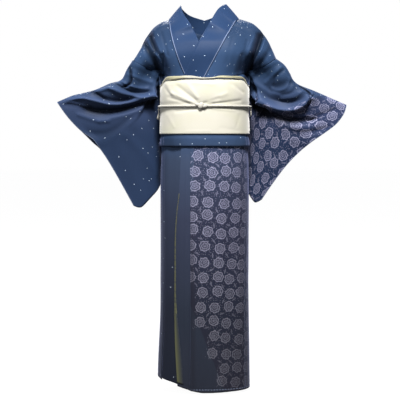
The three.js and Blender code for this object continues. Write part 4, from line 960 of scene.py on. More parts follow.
class Shade:
    """Short calls to build one material's nodes."""

    def __init__(self, name):
        self.material = bpy.data.materials.new(name)
        self.material.use_nodes = True
        self.tree = self.material.node_tree
        self.tree.nodes.clear()
        self.surface = self.node("ShaderNodeBsdfPrincipled")
        output = self.node("ShaderNodeOutputMaterial")
        self.join(self.surface.outputs[0], output.inputs["Surface"])

    def node(self, kind, **settings):
        node = self.tree.nodes.new(kind)
        for key, value in settings.items():
            setattr(node, key, value)
        return node

    def join(self, source, socket):
        source = source.socket if isinstance(source, Number) else source
        if isinstance(source, bpy.types.NodeSocket):
            self.tree.links.new(source, socket)
        else:
            socket.default_value = source

    def math(self, operation, *values):
        node = self.node("ShaderNodeMath", operation=operation)
        for socket, value in zip(node.inputs, values):
            self.join(value, socket)
        return Number(self, node.outputs[0])

    def most(self, first, *others):
        """The largest of some numbers."""
        for other in others:
            first = self.math("MAXIMUM", first, other)
        return first

    def vector(self, operation, *values):
        node = self.node("ShaderNodeVectorMath", operation=operation)
        for socket, value in zip(node.inputs, values):
            self.join(value, socket)
        return Number(self, node.outputs["Value"]) if operation == "LENGTH" else node.outputs["Vector"]

    def scaled(self, colour, factor):
        """A colour made lighter or darker by a factor."""
        node = self.node("ShaderNodeVectorMath", operation="SCALE")
        self.join(colour, node.inputs[0])
        self.join(factor, node.inputs["Scale"])
        return node.outputs[0]

    def split(self, vector):
        node = self.node("ShaderNodeSeparateXYZ")
        self.join(vector, node.inputs[0])
        return [Number(self, output) for output in node.outputs]

    def uv(self):
        return self.node("ShaderNodeUVMap", uv_map="cloth").outputs[0]

    def place(self):
        return self.node("ShaderNodeTexCoord").outputs["Object"]

    def ramp(self, value, stops):
        node = self.node("ShaderNodeValToRGB")
        self.join(value, node.inputs[0])
        set_ramp(node.color_ramp, stops)
        return node.outputs[0]

    def blend(self, factor, a, b, kind="MIX"):
        node = self.node("ShaderNodeMix", data_type="RGBA", blend_type=kind)
        self.join(factor, node.inputs[0])
        for value, socket in ((a, node.inputs[6]), (b, node.inputs[7])):
            self.join(value if isinstance(value, bpy.types.NodeSocket) else (*value, 1), socket)
        return node.outputs[2]

    def noise(self, vector, scale, detail=3.0, rough=0.5):
        node = self.node("ShaderNodeTexNoise")
        self.join(vector, node.inputs["Vector"])
        node.inputs["Scale"].default_value = scale
        node.inputs["Detail"].default_value = detail
        node.inputs["Roughness"].default_value = rough
        return Number(self, node.outputs["Fac"])

    def cells(self, vector, randomness):
        """Distance from the nearest cell's middle, the cell's chance colour, and that middle."""
        node = self.node("ShaderNodeTexVoronoi", voronoi_dimensions="2D")
        self.join(vector, node.inputs["Vector"])
        node.inputs["Scale"].default_value = 1
        node.inputs["Randomness"].default_value = randomness
        return Number(self, node.outputs["Distance"]), node.outputs["Color"], node.outputs["Position"]

    def grow(self, vector, factors, turn=0.0, shift=(0, 0, 0)):
        node = self.node("ShaderNodeMapping")
        self.join(vector, node.inputs["Vector"])
        node.inputs["Scale"].default_value = factors
        node.inputs["Rotation"].default_value = (0, 0, turn)
        node.inputs["Location"].default_value = shift
        return node.outputs[0]

    def relief(self, height, distance, strength=1.0):
        node = self.node("ShaderNodeBump")
        node.inputs["Distance"].default_value = distance
        node.inputs["Strength"].default_value = strength
        self.join(height, node.inputs["Height"])
        return node.outputs[0]

    def band(self, value, at, half):
        """1 on a line where value is at, falling to 0 at half away."""
        return (1.0 - abs(value - at) / half).clamped()

    def finish(self, colour, relief, rough, specular, sheen, sheen_rough=0.4, sheen_tint=(1, 1, 1)):
        """Joins the colour and the relief to the surface, sets how it shines, and gives the material."""
        inputs = self.surface.inputs
        self.join(colour, inputs["Base Color"])
        self.join(relief, inputs["Normal"])
        inputs["Roughness"].default_value = rough
        inputs["Specular IOR Level"].default_value = specular
        inputs["Sheen Weight"].default_value = sheen
        inputs["Sheen Roughness"].default_value = sheen_rough
        inputs["Sheen Tint"].default_value = (*sheen_tint, 1)
        return self.material


def crepe_relief(shade):
    """Height of silk crepe: fine uneven grains in rows along the cloth."""
    uv = shade.uv()
    grains = shade.noise(shade.grow(uv, (900, 1500, 1)), 1.0, 2.0, 0.6)
    slubs = shade.noise(shade.grow(uv, (60, 900, 1)), 1.0, 2.0, 0.5)
    return shade.relief(grains + slubs * 0.5, 0.00025, 0.6)


def silk_colour(shade, stops):
    """The ground: a ramp down the garment, from the shoulders to the hem, with a slight cloud. It is
    the silk's own blue going over to navy together with painted light falloff, lighter above and darker
    below.
    """
    height = shade.split(shade.place())[2]
    ground = shade.ramp(((GROUND_TOP - height) / GROUND_FALL).clamped(), stops)
    return shade.scaled(ground, shade.noise(shade.place(), 9.0, 2.0) * 0.2 + 0.9)


def dots(shade, pitch, size):
    """Small pale dots strewn on the cloth: round points in jittered cells, some left out."""
    away, chance, _ = shade.cells(shade.grow(shade.uv(), (1 / pitch, 1 / pitch, 1)), DOT_JITTER)
    return (away * pitch < size) * (shade.split(chance)[0] > DOTS_LEFT_OUT)


def roses(shade, pitch, keep):
    """Lines of round roses in slightly jittered rows. In polar coordinates about each one's middle: a
    scalloped outline, a ring of petals inside it and a spiral heart, with leaves, buds and specks
    between. keep says by the middle's own place whether a rose is there."""
    cloth = shade.uv()
    size = (pitch * ROSE_WIDE, pitch * ROSE_DEEP, 1)
    shrink = (1 / size[0], 1 / size[1], 1)

    def polar(shift):
        """Distance in millimetres and angle from the nearest middle, its chances and its place."""
        where = shade.grow(cloth, shrink, ROSE_LEAN, shift)
        _, chance, middle = shade.cells(where, ROSE_JITTER)
        away = shade.vector("MULTIPLY", shade.vector("SUBTRACT", where, middle), size)
        x, y, _ = shade.split(away)
        return shade.vector("LENGTH", away) * 1000.0, shade.math("ARCTAN2", y, x), shade.split(chance), middle

    def lobes(count, base, rise, turn):
        """An outline of rounded lobes: a base radius plus the size of a sine."""
        return abs(shade.math("SINE", angle * (count / 2) + turn)) * rise + base

    r, angle, luck, middle = polar((0, 0, 0))
    r = r + (shade.noise(cloth, 110.0, 1.0) * 7.0 - 3.5)
    angle = angle + luck[0] * FULL_TURN
    outline = lobes(7, 15.2, 2.6, 0.0)
    petals = shade.band(r, lobes(5, 8.6, 2.2, 0.9), 1.9) * 0.9
    spiral = shade.math("FRACT", r / 4.4 + angle / FULL_TURN)
    heart = (r < 5.6) * shade.band(spiral, 0.5, 0.34)
    disc = r < outline
    rose = shade.most(shade.band(r, outline, 2.5), petals, heart, disc * 0.13)

    far, lean, luck, _ = polar((0.5, 0.5, 0))
    lean = lean + luck[1] * FULL_TURN
    along_leaf = abs(far * shade.math("COSINE", lean)) - 5.4
    across_leaf = far * shade.math("SINE", lean)
    leaf = ((along_leaf / 3.8) ** 2.0 + (across_leaf / 1.7) ** 2.0 < 1.0) * 0.4
    bud = shade.band(far, 2.2, 1.3) * 0.7
    sprig = shade.most(dots(shade, 0.0085, 0.0012) * 0.6, leaf, bud) * (1.0 - disc)

    uneven = shade.math("MINIMUM", shade.noise(cloth, 340.0, 2.0, 0.6) * 1.7, 1.15)
    kept = keep(shade.vector("MULTIPLY", shade.grow(middle, (1, 1, 1), -ROSE_LEAN), size))
    return shade.most(rose, sprig) * uneven * kept, kept


def skirt_keep(shade):
    """Where the skirt's roses are: right of a line that leans out at the top and again near the hem,
    and as far as the back of the wearer's left side."""
    def keep(centre):
        u, v, _ = shade.split(centre)
        edge = shade.most(-0.995 - v, 0.0) * 0.41 - 0.052 + (v > -0.60) * 0.015
        return (u > edge) * (u < (v + 0.9) * 0.16 + 0.36)

    return keep


# The upper limit of the left sleeve's roses: share along the arm, share down.
ROSE_LIMIT = [
    (0, 0.60), (0.14, 0.575), (0.37, 0.47), (0.5, 0.40), (0.56, 0.33), (0.59, 0.19), (0.62, 0.05), (0.7, 0),
]


def sleeve_keep(shade):
    """Where the left sleeve's roses are: below the rolled fold, and the whole depth at the cuff."""
    def keep(centre):
        u, v, _ = shade.split(centre)
        share = v * (1000 / SLEEVE_DEPTH)
        down = shade.math("MINIMUM", share * -1.0, share + 2.0)
        return down > shade.ramp(u / (SLEEVE_WIDTH / 1000), [(at, (d, d, d)) for at, d in ROSE_LIMIT])

    return keep


def silk(name, stops, dot_pitch=None, rose=None, rose_keep=None, rose_pitch=None, dark=0.0, thread=None,
         folded=False):
    """Silk crepe: the ground's dye with painted light falloff, strewn dots, roses where they are kept, a
    soft sheen and grain. dark fades the roses towards the hem and turns them
    yellower there, paints shade on them towards the side and paints a shadow beside the overlap's
    seam. thread gives where a pale line of thread or a lighter edge shows, and how strongly. folded
    paints shade into its hollows and a little highlight onto its ridges."""
    shade = Shade(name)
    colour, free = silk_colour(shade, stops), 1.0
    u, v, _ = shade.split(shade.uv())
    if rose_keep:
        keep = rose_keep(shade)
        lines, kept = roses(shade, rose_pitch, keep)
        height = shade.split(shade.place())[2]
        fade = ((height + 0.45) * dark + 1.0).clamped()
        if dark:
            # Towards the side the roses are painted darker, as shade where the skirt turns away.
            fade = fade * ((u * 7.0 - 0.28).clamped() * -0.38 + 1.08)
            rose = shade.ramp(height * -0.85, [(0.45, rose), (1.0, times(rose, (0.95, 0.93, 0.78)))])
        darker = shade.blend(1.0, colour, (0.84, 0.74, 0.78), "MULTIPLY")
        colour = shade.blend(keep(shade.uv()), colour, darker)
        colour = shade.blend(lines * fade * 0.92, colour, rose)
        free = 1.0 - kept
    if dot_pitch:
        colour = shade.blend(dots(shade, dot_pitch, DOT_SIZE) * free * 0.8, colour, (0.26, 0.31, 0.37))
    if thread:
        colour = shade.blend(thread(shade), colour, (0.15, 0.18, 0.26))
    if rose_keep and dark:
        # Painted shadow: a dark band runs down beside the overlap's seam, in the soft hollow there.
        hollow = shade.band(u, -0.043, 0.014) * (v * -5.0 - 3.5).clamped()
        colour = shade.blend(hollow * 0.45, colour, (0.006, 0.006, 0.009))
    # Painted shade in the hollows and painted highlight on the ridges, from the fold attribute.
    if folded:
        fold = Number(shade, shade.node("ShaderNodeAttribute", attribute_name="fold").outputs["Fac"])
        hollow, ridge = (fold * -1.25).clamped(), (fold * 0.9).clamped()
        colour = shade.scaled(colour, 1.0 - hollow * 0.8 + ridge * 0.5)
    return shade.finish(colour, crepe_relief(shade), 0.5, 0.03, 0.10, 0.35, (0.36, 0.42, 0.78))


def brocade(name, colour):
    """Woven obi silk: fine ribs across the cloth, a faint figure of lighter thread, and a slight
    yellow-green cast that comes and goes."""
    shade = Shade(name)
    uv = shade.uv()
    ribs = shade.node("ShaderNodeTexWave", wave_type="BANDS", bands_direction="Y")
    shade.join(uv, ribs.inputs["Vector"])
    ribs.inputs["Scale"].default_value = 260
    ribs.inputs["Distortion"].default_value = 0.4
    lozenge = shade.band(shade.cells(shade.grow(uv, (62, 62, 1), 0.785), 0.0)[0], 0.34, 0.06)
    cast = shade.ramp(shade.noise(shade.place(), 7.0, 2.0), [
        (0.35, colour), (0.5, times(colour, 0.97)), (0.66, times(colour, (0.93, 0.95, 0.82)))])
    thread = shade.noise(shade.grow(uv, (40, 1400, 1)), 1.0, 2.0)
    shown = shade.blend(lozenge * 0.10, cast, times(colour, 0.80))
    shown = shade.blend(thread * 0.12, shown, times(colour, 1.1))
    height = Number(shade, ribs.outputs["Fac"]) * 0.5 + (lozenge * 0.4 + thread * 0.3)
    return shade.finish(shown, shade.relief(height, 0.00022, 0.5), 0.55, 0.25, 0.35)


def plain_silk(name, colour, pale, grain, sheen):
    """Plain soft silk with a little unevenness in its colour. It goes over from its own colour at the
    wearer's right to the pale one in the middle and at the left."""
    shade = Shade(name)
    cloud = shade.noise(shade.place(), 40.0, 3.0)
    across = (shade.split(shade.place())[0] * 5.0 + 0.75).clamped()
    own = shade.ramp(across, [(0.0, colour), (0.3, colour), (0.48, pale), (0.85, pale), (1.0, colour)])
    uneven = shade.ramp(cloud, [(0.3, (0.84, 0.84, 0.84)), (0.7, (1, 1, 1))])
    shown = shade.blend(1.0, own, uneven, "MULTIPLY")
    fine = shade.noise(shade.place(), 1500.0, 2.0, 0.6)
    return shade.finish(shown, shade.relief(fine, grain, 0.6), 0.55, 0.2, sheen)


def braided(name, colour):
    """Braided silk cord: slanting plaits along the cord, crossed, on its own place."""
    shade = Shade(name)
    plaits = []
    for turn in (0.0, np.pi / 2):
        wave = shade.node("ShaderNodeTexWave", wave_type="BANDS", bands_direction="DIAGONAL")
        shade.join(shade.grow(shade.place(), (1, 0.2, 1)), wave.inputs["Vector"])
        wave.inputs["Scale"].default_value = 120
        wave.inputs["Phase Offset"].default_value = turn
        plaits.append(wave.outputs["Fac"])
    weave = shade.most(*plaits)
    # The grooves between the plaits are painted darker, as shade.
    shown = shade.ramp(weave, [(0.35, times(colour, 0.62)), (0.8, colour)])
    return shade.finish(shown, shade.relief(weave, 0.0006, 0.7), 0.6, 0.25, 0.2, 0.5)


def lining_with_painted_shade(name, colour, stops):
    """The lining's turned edge: olive at the free edge that goes over into the silk's colour, as painted
    shade on the rolled edge, and broken into short dashes where it is narrow."""
    shade = Shade(name)
    u, v, _ = shade.split(shade.uv())
    broken = shade.noise(shade.grow(shade.uv(), (0, 85, 1)), 1.0, 2.0, 0.6)
    narrow = v > -1.05
    # Where the strip is wide, the olive goes over into the silk's colour across it: painted shade on the
    # rolled edge.
    across = shade.ramp(u * 50.0, [
        (0.0, (0.75, 0.75, 0.75)), (0.16, (1, 1, 1)), (0.45, (0.5, 0.5, 0.5)), (1.0, (0, 0, 0))])
    dash = (broken < 0.48) * narrow
    kept = (1.0 - narrow) * across + narrow * (0.9 - dash * 0.55)
    shown = shade.blend(kept, silk_colour(shade, stops), colour)
    return shade.finish(shown, crepe_relief(shade), 0.55, 0.05, 0.08)


def shared(name, make, *values, **options):
    """The finish of that name, made once."""
    return bpy.data.materials.get(name) or make(name, *values, **options)


def silk_stops(silk_settings, upper=1.0, lower=(1.0, 1.0, 1.0), shoulder=1.0):
    """The ground's stops by share of the height, from the shoulders down to the hem. upper and
    lower make it lighter above the waist, and below it at the hips, the knees and the hem. shoulder
    paints shade on the shoulders, making them darker."""
    top, low = np.array(silk_settings.collar), np.array(silk_settings.hem)
    hips, knees, hem = (np.array(lighter) for lighter in lower)
    chest, tuck = times(top, upper), times(top, (1.75, 1.48, 1.27))
    return [(0.0, times(chest, shoulder)), (0.08, times(chest, shoulder)), (0.15, chest), (0.20, chest),
            (0.34, tuck), (0.40, times(mix(np.array(tuck), low, 0.42) * hips, (1.25, 1.12, 0.95))),
            (0.55, times(mix(np.array(tuck), low, 0.74) * hips, (1.25, 1.1, 1))),
            (0.78, times(low, knees)), (1.0, times(low, hem))]


def sleeve_stops(silk_settings):
    """The sleeves' ground by share of the height: a painted highlight over the elbow, darker in the bag."""
    # From 0.18 to 0.26 the ground is painted lighter and redder: a lavender highlight on the upper arm.
    tones = [(0.0, (1.05, 0.98, 0.87)), (0.18, (1.3, 1.2, 1.05)), (0.26, (1.8, 1.25, 1.08)),
             (0.34, (1.08, 0.88, 0.80)), (1.0, (1.08, 0.88, 0.80))]
    return [(at, times(silk_settings.collar, tone)) for at, tone in tones]


def collar_thread(shade):
    """A fine pale line beside the collar's seam, in front."""
    front = shade.split(shade.place())[1] < -0.035
    return shade.band(shade.split(shade.uv())[0], 0.0032, 0.0019) * front * 0.5


def hem_thread(shade):
    """A row of pale stitches a little above the hem."""
    u, v, _ = shade.split(shade.uv())
    stitches = shade.math("FRACT", u / 0.011) < 0.7
    return shade.band(v, -1.3015, 0.0017) * stitches * (u > -0.055) * 0.45


def cuff_pale_edge(shade):
    """The cuff's edge, a little lighter where it turns in."""
    return shade.band(shade.split(shade.uv())[0], SLEEVE_WIDTH / 1000, 0.0026) * 0.55


# ---------- operators ----------
class KIMONO_OT_skirt(bpy.types.Operator):
    """Makes the six panels of the skirt and the lining that shows along the overlap"""

    bl_idname = "kimono.skirt"
    bl_label = "Skirt"

    def execute(self, context):
        settings = context.scene.kimono_silk
        columns = settings.detail
        right = silk_stops(settings, lower=((1.15, 1.1, 1.15), (1.1, 1.15, 1.25), (0.95, 1.05, 1.1)))
        left = silk_stops(settings, lower=((1.4, 1.32, 1.4), (1.65, 1.85, 1.9), (1.75, 1.75, 1.7)))
        plain = shared("Silk, skirt", silk, right, dot_pitch=0.075)
        overlap = shared("Silk, overlap", silk, left)
        flowered = shared(
            "Silk, skirt with roses", silk, left, rose=tuple(settings.rose), rose_keep=skirt_keep,
            rose_pitch=settings.rose_pitch, dark=0.75, thread=hem_thread)
        olive = shared("Lining silk", lining_with_painted_shade, tuple(settings.lining), left)
        panels = [
            ("skirt_front_left", lambda z: overlap_seam_deg(z) + 0.02, SIDE_SEAM - SEAM, LAYER_OVER, columns,
             {"seams": (0.2, 0.3)}, flowered, (0.22, 0.92)),
            ("overlap_left", overlap_edge_deg, overlap_seam_deg, LAYER_OVER, columns // 2,
             {"seams": (0, 0.2)}, overlap, (0.06, 0.92)),
            ("skirt_front_right", -SIDE_SEAM - 0.5, UNDER_SEAM - SEAM, under_out, columns,
             {"short": 5, "folds": 0.3}, plain, (0.17, 0.91)),
            ("overlap_right", UNDER_SEAM, UNDER_EDGE, LAYER_UNDER, columns // 2,
             {"short": 5, "folds": 0.3, "seams": (1, 0)}, plain, (0.125, 0.91)),
            ("skirt_back_left", SIDE_SEAM, 180 - SEAM, LAYER_OVER, columns,
             {"seams": (0.3, 1)}, flowered, (0.29, 0.92)),
            ("skirt_back_right", -180 + SEAM, -SIDE_SEAM, LAYER_OVER, columns, {}, plain, (0.28, 0.91)),
        ]
        for name, start, end, out, count, options, material, flat in panels:
            surface = skirt_panel(start, end, out, count, **options)
            cloth_piece("silk_" + name, name, surface, body_axis(surface[0]), settings.thickness,
                        "silk_crepe", material, flat)
        surface = lining_edge()
        cloth_piece("lining_edge", "overlap_lining_edge", surface, body_axis(surface[0]), LINING_CLOTH,
                    "lining_silk", olive, (0.012, 0.72))
        return {"FINISHED"}


def body_painted_shade(points):
    """The body's painted shade and highlight: shade in the hollows and highlight on the ridges of its
    folds above the waist, and shade on the tuck towards the wearer's right, where it hangs loose."""
    x, z = points[..., 0], points[..., 2]
    face = np.sign(points[..., 1])
    fold = sum(np.where(face == f, body_folds(x, z, f), 0) for f in (-1, 1))
    # Painted shade on the tuck: darker towards the wearer's right, where it hangs loose.
    loose = ease(-50, -120, x) * ease(-384, -396, z) * (face < 0)
    return fold * ease(WAIST_Z - 10, WAIST_Z + 30, z) - 6 * loose


class KIMONO_OT_body(bpy.types.Operator):
    """Makes the left and right body panels, each in one length over the shoulder"""

    bl_idname = "kimono.body"
    bl_label = "Body"

    def execute(self, context):
        settings = context.scene.kimono_silk
        # shoulder=0.55 paints shade on the body's shoulders.
        stops = silk_stops(settings, (1.85, 1.7, 1.5), shoulder=0.55)
        # folded paints shade into the body's hollows and highlight onto its ridges.
        material = shared("Silk, body", silk, stops, dot_pitch=UPPER_DOTS, folded=True)
        for side, flat in (("left", (0.30, 0.95)), ("right", (0.28, 0.80))):
            surface = body_surface(side, settings.detail)
            x, _, z = np.moveaxis(surface[0], -1, 0)
            inside = points_of(np.clip(x * 0.5, -130, 130), 0, z - 30 * ease(-90, -20, z))
            cloth_piece("silk_body_" + side, "body_" + side, surface, inside, settings.thickness,
                        "silk_crepe", material, flat, "draped", fold=body_painted_shade(surface[0]))
        return {"FINISHED"}


class KIMONO_OT_sleeves(bpy.types.Operator):
    """Makes the two sleeves, round over the arms and hanging in a bag below them"""

    bl_idname = "kimono.sleeves"
    bl_label = "Sleeves"

    def execute(self, context):
        settings = context.scene.kimono_silk
        # folded paints shade into the sleeves' hollows and highlight onto their ridges.
        finish = {"dot_pitch": UPPER_DOTS, "thread": cuff_pale_edge, "folded": True}
        roses_on = {"rose": times(settings.rose, 0.8), "rose_keep": sleeve_keep,
                    "rose_pitch": settings.rose_pitch}
        for side, creases, name, more in (("left", CREASES_LEFT, "Silk, sleeve with roses", roses_on),
                                          ("right", CREASES_RIGHT, "Silk, sleeve", {})):
            sleeve, folds = SIDES[side][:2]
            points, middle, uv, fold = sleeve_surface(
                sleeve, folds + creases, settings.detail + 30, settings.detail + 10)
            material = shared(name, silk, sleeve_stops(settings), **finish, **more)
            cloth_piece("silk_sleeve_" + side, "sleeve_" + side, (points, uv), middle, settings.thickness,
                        "silk_crepe", material, (0.33, 0.98), "draped", ring=True, fold=fold)
        return {"FINISHED"}


class KIMONO_OT_collar(bpy.types.Operator):
    """Makes the collar, one band round the neck and down both fronts"""

    bl_idname = "kimono.collar"
    bl_label = "Collar"

    def execute(self, context):
        surface = collar_surface(70, 26)
        inside = surface[0] * (0.3, 0.3, 1) - (0, 0, 60)
        stops = silk_stops(context.scene.kimono_silk)
        material = shared("Silk, collar", silk, stops, dot_pitch=0.05, thread=collar_thread)
        cloth_piece("silk_collar", "collar", surface, inside, BAND_CLOTH, "silk_crepe", material,
                    (0.077, 1.05), "folded")
        return {"FINISHED"}


class KIMONO_OT_obi(bpy.types.Operator):
    """Makes the wrapped obi with its creases"""

    bl_idname = "kimono.obi"
    bl_label = "Obi"

    def execute(self, context):
        settings = context.scene.kimono_obi
        surface = obi_surface(110, 420)
        material = shared("Obi brocade", brocade, tuple(settings.brocade))
        cloth_piece("brocade_obi", "obi_wrap", surface, body_axis(surface[0]), settings.thickness,
                    "obi_brocade", material, (0.19, 0.95), "folded", ring=True)
        return {"FINISHED"}


class KIMONO_OT_obiage(bpy.types.Operator):
    """Makes the obiage, the soft silk band that shows over the obi"""

    bl_idname = "kimono.obiage"
    bl_label = "Obiage"

    def execute(self, context):
        band = tuple(context.scene.kimono_obi.band)
        points = obiage_surface(360, 28)
        faces = grid_faces(*points.shape[:2], ring=1, closed=1)
        piece = solid_object("silk_obiage", [(points, faces)])
        material = shared("Obiage silk", plain_silk, band, times(band, (1.3, 1.33, 1.75)), 0.0003, 0.3)
        finish_piece(piece, ["obiage"], material)
        return {"FINISHED"}


def solid_object(name, shells):
    """One mesh object of closed shells, each a grid of points with its faces. Points that meet at a
    pole are joined, and all faces look outwards."""
    stack, faces, base = [], [], 0
    for points, corners in shells:
        stack.append(points.reshape(-1, 3))
        faces.append(corners + base)
        base += len(stack[-1])
    piece = make_object(name, np.concatenate(stack), np.concatenate(faces))
    mesh = bmesh.new()
    mesh.from_mesh(piece.data)
    bmesh.ops.remove_doubles(mesh, verts=mesh.verts, dist=1e-6)
    bmesh.ops.recalc_face_normals(mesh, faces=mesh.faces)
    mesh.to_mesh(piece.data)
    mesh.free()
    return piece


# The knot's parts: x, z, how far out, half sizes along x, y and z, and lean.
KNOT = [(-11, 1, 7, 9, 6, 12, 0.5), (-22, 4, 6, 11, 5, 6, 0.3), (2, -1, 6, 10, 5, 6, -0.3)]
CORD_LIFT, CORD_STEPS, CORD_SIDES, CORD_PLAITS = 4.5, 720, 18, 90
# The tassels: name, degrees, length, spread, seed.
TASSELS = [("tassel_right", -84.0, 38.5, 6.6, 1), ("tassel_left", 84.0, 26.5, 4.8, 2)]
HEAD_RADIUS, HEAD_HALF = 3.4, 5.0
STRAND_STEPS, STRAND_SIDES, STRAND_RADIUS = 8, 4, 0.55


def ball(rows, columns):
    """Angles of a closed ball: from pole to pole, and round it."""
    return np.linspace(0, np.pi, rows)[:, None], np.linspace(0, 2 * np.pi, columns, endpoint=False)[None, :]


def knot_part(x, z, out, half_x, half_y, half_z, lean):
    """One turn of the cord in the knot: a rounded lump with slanting ridges, leant to one side."""
    a, b = ball(34, 48)
    ridges = 1 + 0.05 * np.abs(np.sin(b * 3 + a * 7)) * np.sin(a)
    px = half_x * np.sin(a) * np.cos(b) * ridges
    py = half_y * np.sin(a) * np.sin(b) * ridges
    pz = half_z * np.cos(a) + 0 * b
    y = figure_point(0.0, CORD_Z, obi_out(0.0, np.array(CORD_Z)) + out)[1]
    points = points_of(x + px * np.cos(lean) + pz * np.sin(lean), y + py,
                       CORD_Z + z - px * np.sin(lean) + pz * np.cos(lean))
    return points, grid_faces(34, 48, ring=1)


def cord_surface(radius):
    """The cord round the obi: a ring with two sets of ridges that wind against each other."""
    deg = np.linspace(-180, 180, CORD_STEPS, endpoint=False)
    level = np.full(CORD_STEPS, CORD_Z)
    path = figure_point(deg, level, obi_out(deg, level) + CORD_LIFT)

    def plaits(i, a):
        wound = i / CORD_STEPS * 2 * np.pi * CORD_PLAITS
        return 1 + 0.05 * np.maximum(np.sin(2 * a + wound), np.sin(2 * a - wound)) - 0.02

    full = np.full(CORD_STEPS, radius)
    points = ring_tube(path, full, full, CORD_SIDES, plaits)
    return points, grid_faces(CORD_STEPS, CORD_SIDES, ring=1, closed=1)


def tassel_strands(length, spread, strands, seed):
    """A tassel's strands, four-sided, which leave the head in a spiral and hang with a slight wave."""
    chance = np.random.default_rng(seed)
    count = np.arange(strands)
    turn, share = count * 2.4, np.sqrt(count / strands)
    foot = spread * share
    tip = points_of(1 + foot * 0.5 + foot * 0.4 * np.cos(turn), foot * np.sin(turn),
                    -length + 5 * share - chance.uniform(-1.5, 0, strands))
    start = points_of(1.8 * share * np.cos(turn), 1.8 * share * np.sin(turn), 0)
    return start, tip, turn


def tassel(deg, length, spread, strands, seed):
    """A tassel: its strands and the bound head over them, as closed shells."""
    top = figure_point(deg, CORD_Z - 4.4, obi_out(deg, np.array(CORD_Z)) + CORD_LIFT)
    start, tip, turn = tassel_strands(length, spread, strands, seed)
    tip[:, 0] *= np.sign(top[0])
    steps = np.linspace(0, 1, STRAND_STEPS)
    wave = 0.5 * np.sin(steps[None, :] * 5 + turn[:, None])
    line = start[:, None, :] + (tip - start)[:, None, :] * steps[None, :, None]
    line = line + points_of(wave * steps, wave[::-1] * steps, 0 * wave)
    a = 0.4 + np.arange(STRAND_SIDES) * np.pi / 2
    thick = STRAND_RADIUS * (1 - 0.35 * steps)
    section = points_of(np.cos(a), np.sin(a), 0 * a)
    tubes = line[:, :, None, :] + thick[None, :, None, None] * section[None, None, :, :]
    around = np.arange(STRAND_SIDES)
    ends = [around[::-1], around + (STRAND_STEPS - 1) * STRAND_SIDES]
    walls = np.concatenate([grid_faces(STRAND_STEPS, STRAND_SIDES, ring=1), ends])
    u, w = ball(16, 24)
    bound = HEAD_RADIUS * (1 + 0.06 * np.abs(np.sin(6 * u)) * np.sin(u))
    head = points_of(np.sin(u) * np.cos(w) * bound, np.sin(u) * np.sin(w) * bound, HEAD_HALF * np.cos(u))
    return [*((tube + top - (0, 0, 5.5), walls) for tube in tubes),
            (head + top - (0, 0, 5.0), grid_faces(16, 24, ring=1))]


class KIMONO_OT_cord(bpy.types.Operator):
    """Makes the obijime with its knot, and the tassel at each side"""

    bl_idname = "kimono.cord"
    bl_label = "Obijime and tassels"

    def execute(self, context):
        settings = context.scene.kimono_obi
        cord = tuple(settings.cord)
        piece = solid_object("cord_obijime", [
            cord_surface(settings.cord_radius * 1000), *(knot_part(*row) for row in KNOT)])
        finish_piece(piece, ["obijime"], shared("Braided cord", braided, cord))
        silk_ends = shared("Tassel silk", plain_silk, cord, cord, 0.0002, 0.25)
        for name, deg, length, spread, seed in TASSELS:
            piece = solid_object("cord_" + name, tassel(deg, length, spread, settings.strands, seed))
            finish_piece(piece, [name], silk_ends)
        return {"FINISHED"}


# Folds of the drum bow, its tail and its hand: x and share of the length at both ends, rise, half.
FOLDS_DRUM = [
    (-120, 0.3, -60, 0.5, -1.6, 10), (110, 0.3, 50, 0.52, -1.6, 10), (-30, 0.28, 20, 0.44, 1.3, 14),
    (-90, 0.55, -40, 0.78, 1.2, 14), (70, 0.55, 100, 0.8, -1.3, 13), (0, 0.6, -10, 0.8, -1.0, 18),
    (-132, 0.4, -126, 0.75, 1.0, 6), (132, 0.4, 127, 0.75, 1.0, 6),
]
FOLDS_TAIL = [(-60, 0.3, -50, 1.0, 0.8, 14), (64, 0.3, 70, 1.0, -0.8, 14)]


def strip_surface(profile, half_width, rows, columns, folds=()):
    """A strip of sash that follows a profile seen from the side, bowed round the back, with soft
    folds down its length and its edges turned in. It gives the plain points, their normals, how far
    each point stands out and the map."""
    table = np.array(profile, float)
    step = way_along(table)
    keyed = np.column_stack([step, table])
    at = np.linspace(0, step[-1], rows)[:, None]
    x = np.linspace(-half_width, half_width, columns)[None, :]
    y, z = along(keyed, 1, at) - DRUM_BOW * x * x, along(keyed, 2, at) + 0 * x
    points = points_of(FIGURE_X + x, y, z)
    total = -1.0 * bump(half_width - np.abs(x), 2.2) + 0 * at
    for x0, a0, x1, a1, rise, half in folds:
        off, _ = off_line(x + 0 * at, at + 0 * x, x0, a0 * step[-1], x1, a1 * step[-1])
        total = total + rise * bump(off, half)
    return points, normals_of(points), total, points_of(x + 0 * at, at + 0 * x, 0)


class KIMONO_OT_bow(bpy.types.Operator):
    """Makes the drum bow of the obi behind, with its hand and tail"""

    bl_idname = "kimono.bow"
    bl_label = "Drum bow"

    def execute(self, context):
        settings = context.scene.kimono_obi
        material = shared("Obi brocade", brocade, tuple(settings.brocade))
        parts = [
            ("obi_drum", DRUM, DRUM_HALF, 200, FOLDS_DRUM, settings.thickness, (0.282, 0.49)),
            ("obi_tail", TAIL, DRUM_HALF - 2, 70, FOLDS_TAIL, settings.thickness, (0.278, 0.155)),
            ("obi_hand", HAND, HAND_HALF, 44, (), HAND_CLOTH, (0.302, 0.092)),
        ]
        for name, profile, half, rows, folds, thickness, flat in parts:
            points, normal, total, uv = strip_surface(profile, half, rows, 110, folds)
            rolled = name == "obi_drum"
            inside = points + 50 * normal if rolled else points - (0, 50, 0)
            sign = -1.0 if rolled else np.sign(normal[..., 1].mean())
            surface = points + (sign * total)[..., None] * normal, uv
            cloth_piece("brocade_" + name, name, surface, inside, thickness, "obi_brocade", material, flat,
                        "folded")
        return {"FINISHED"}


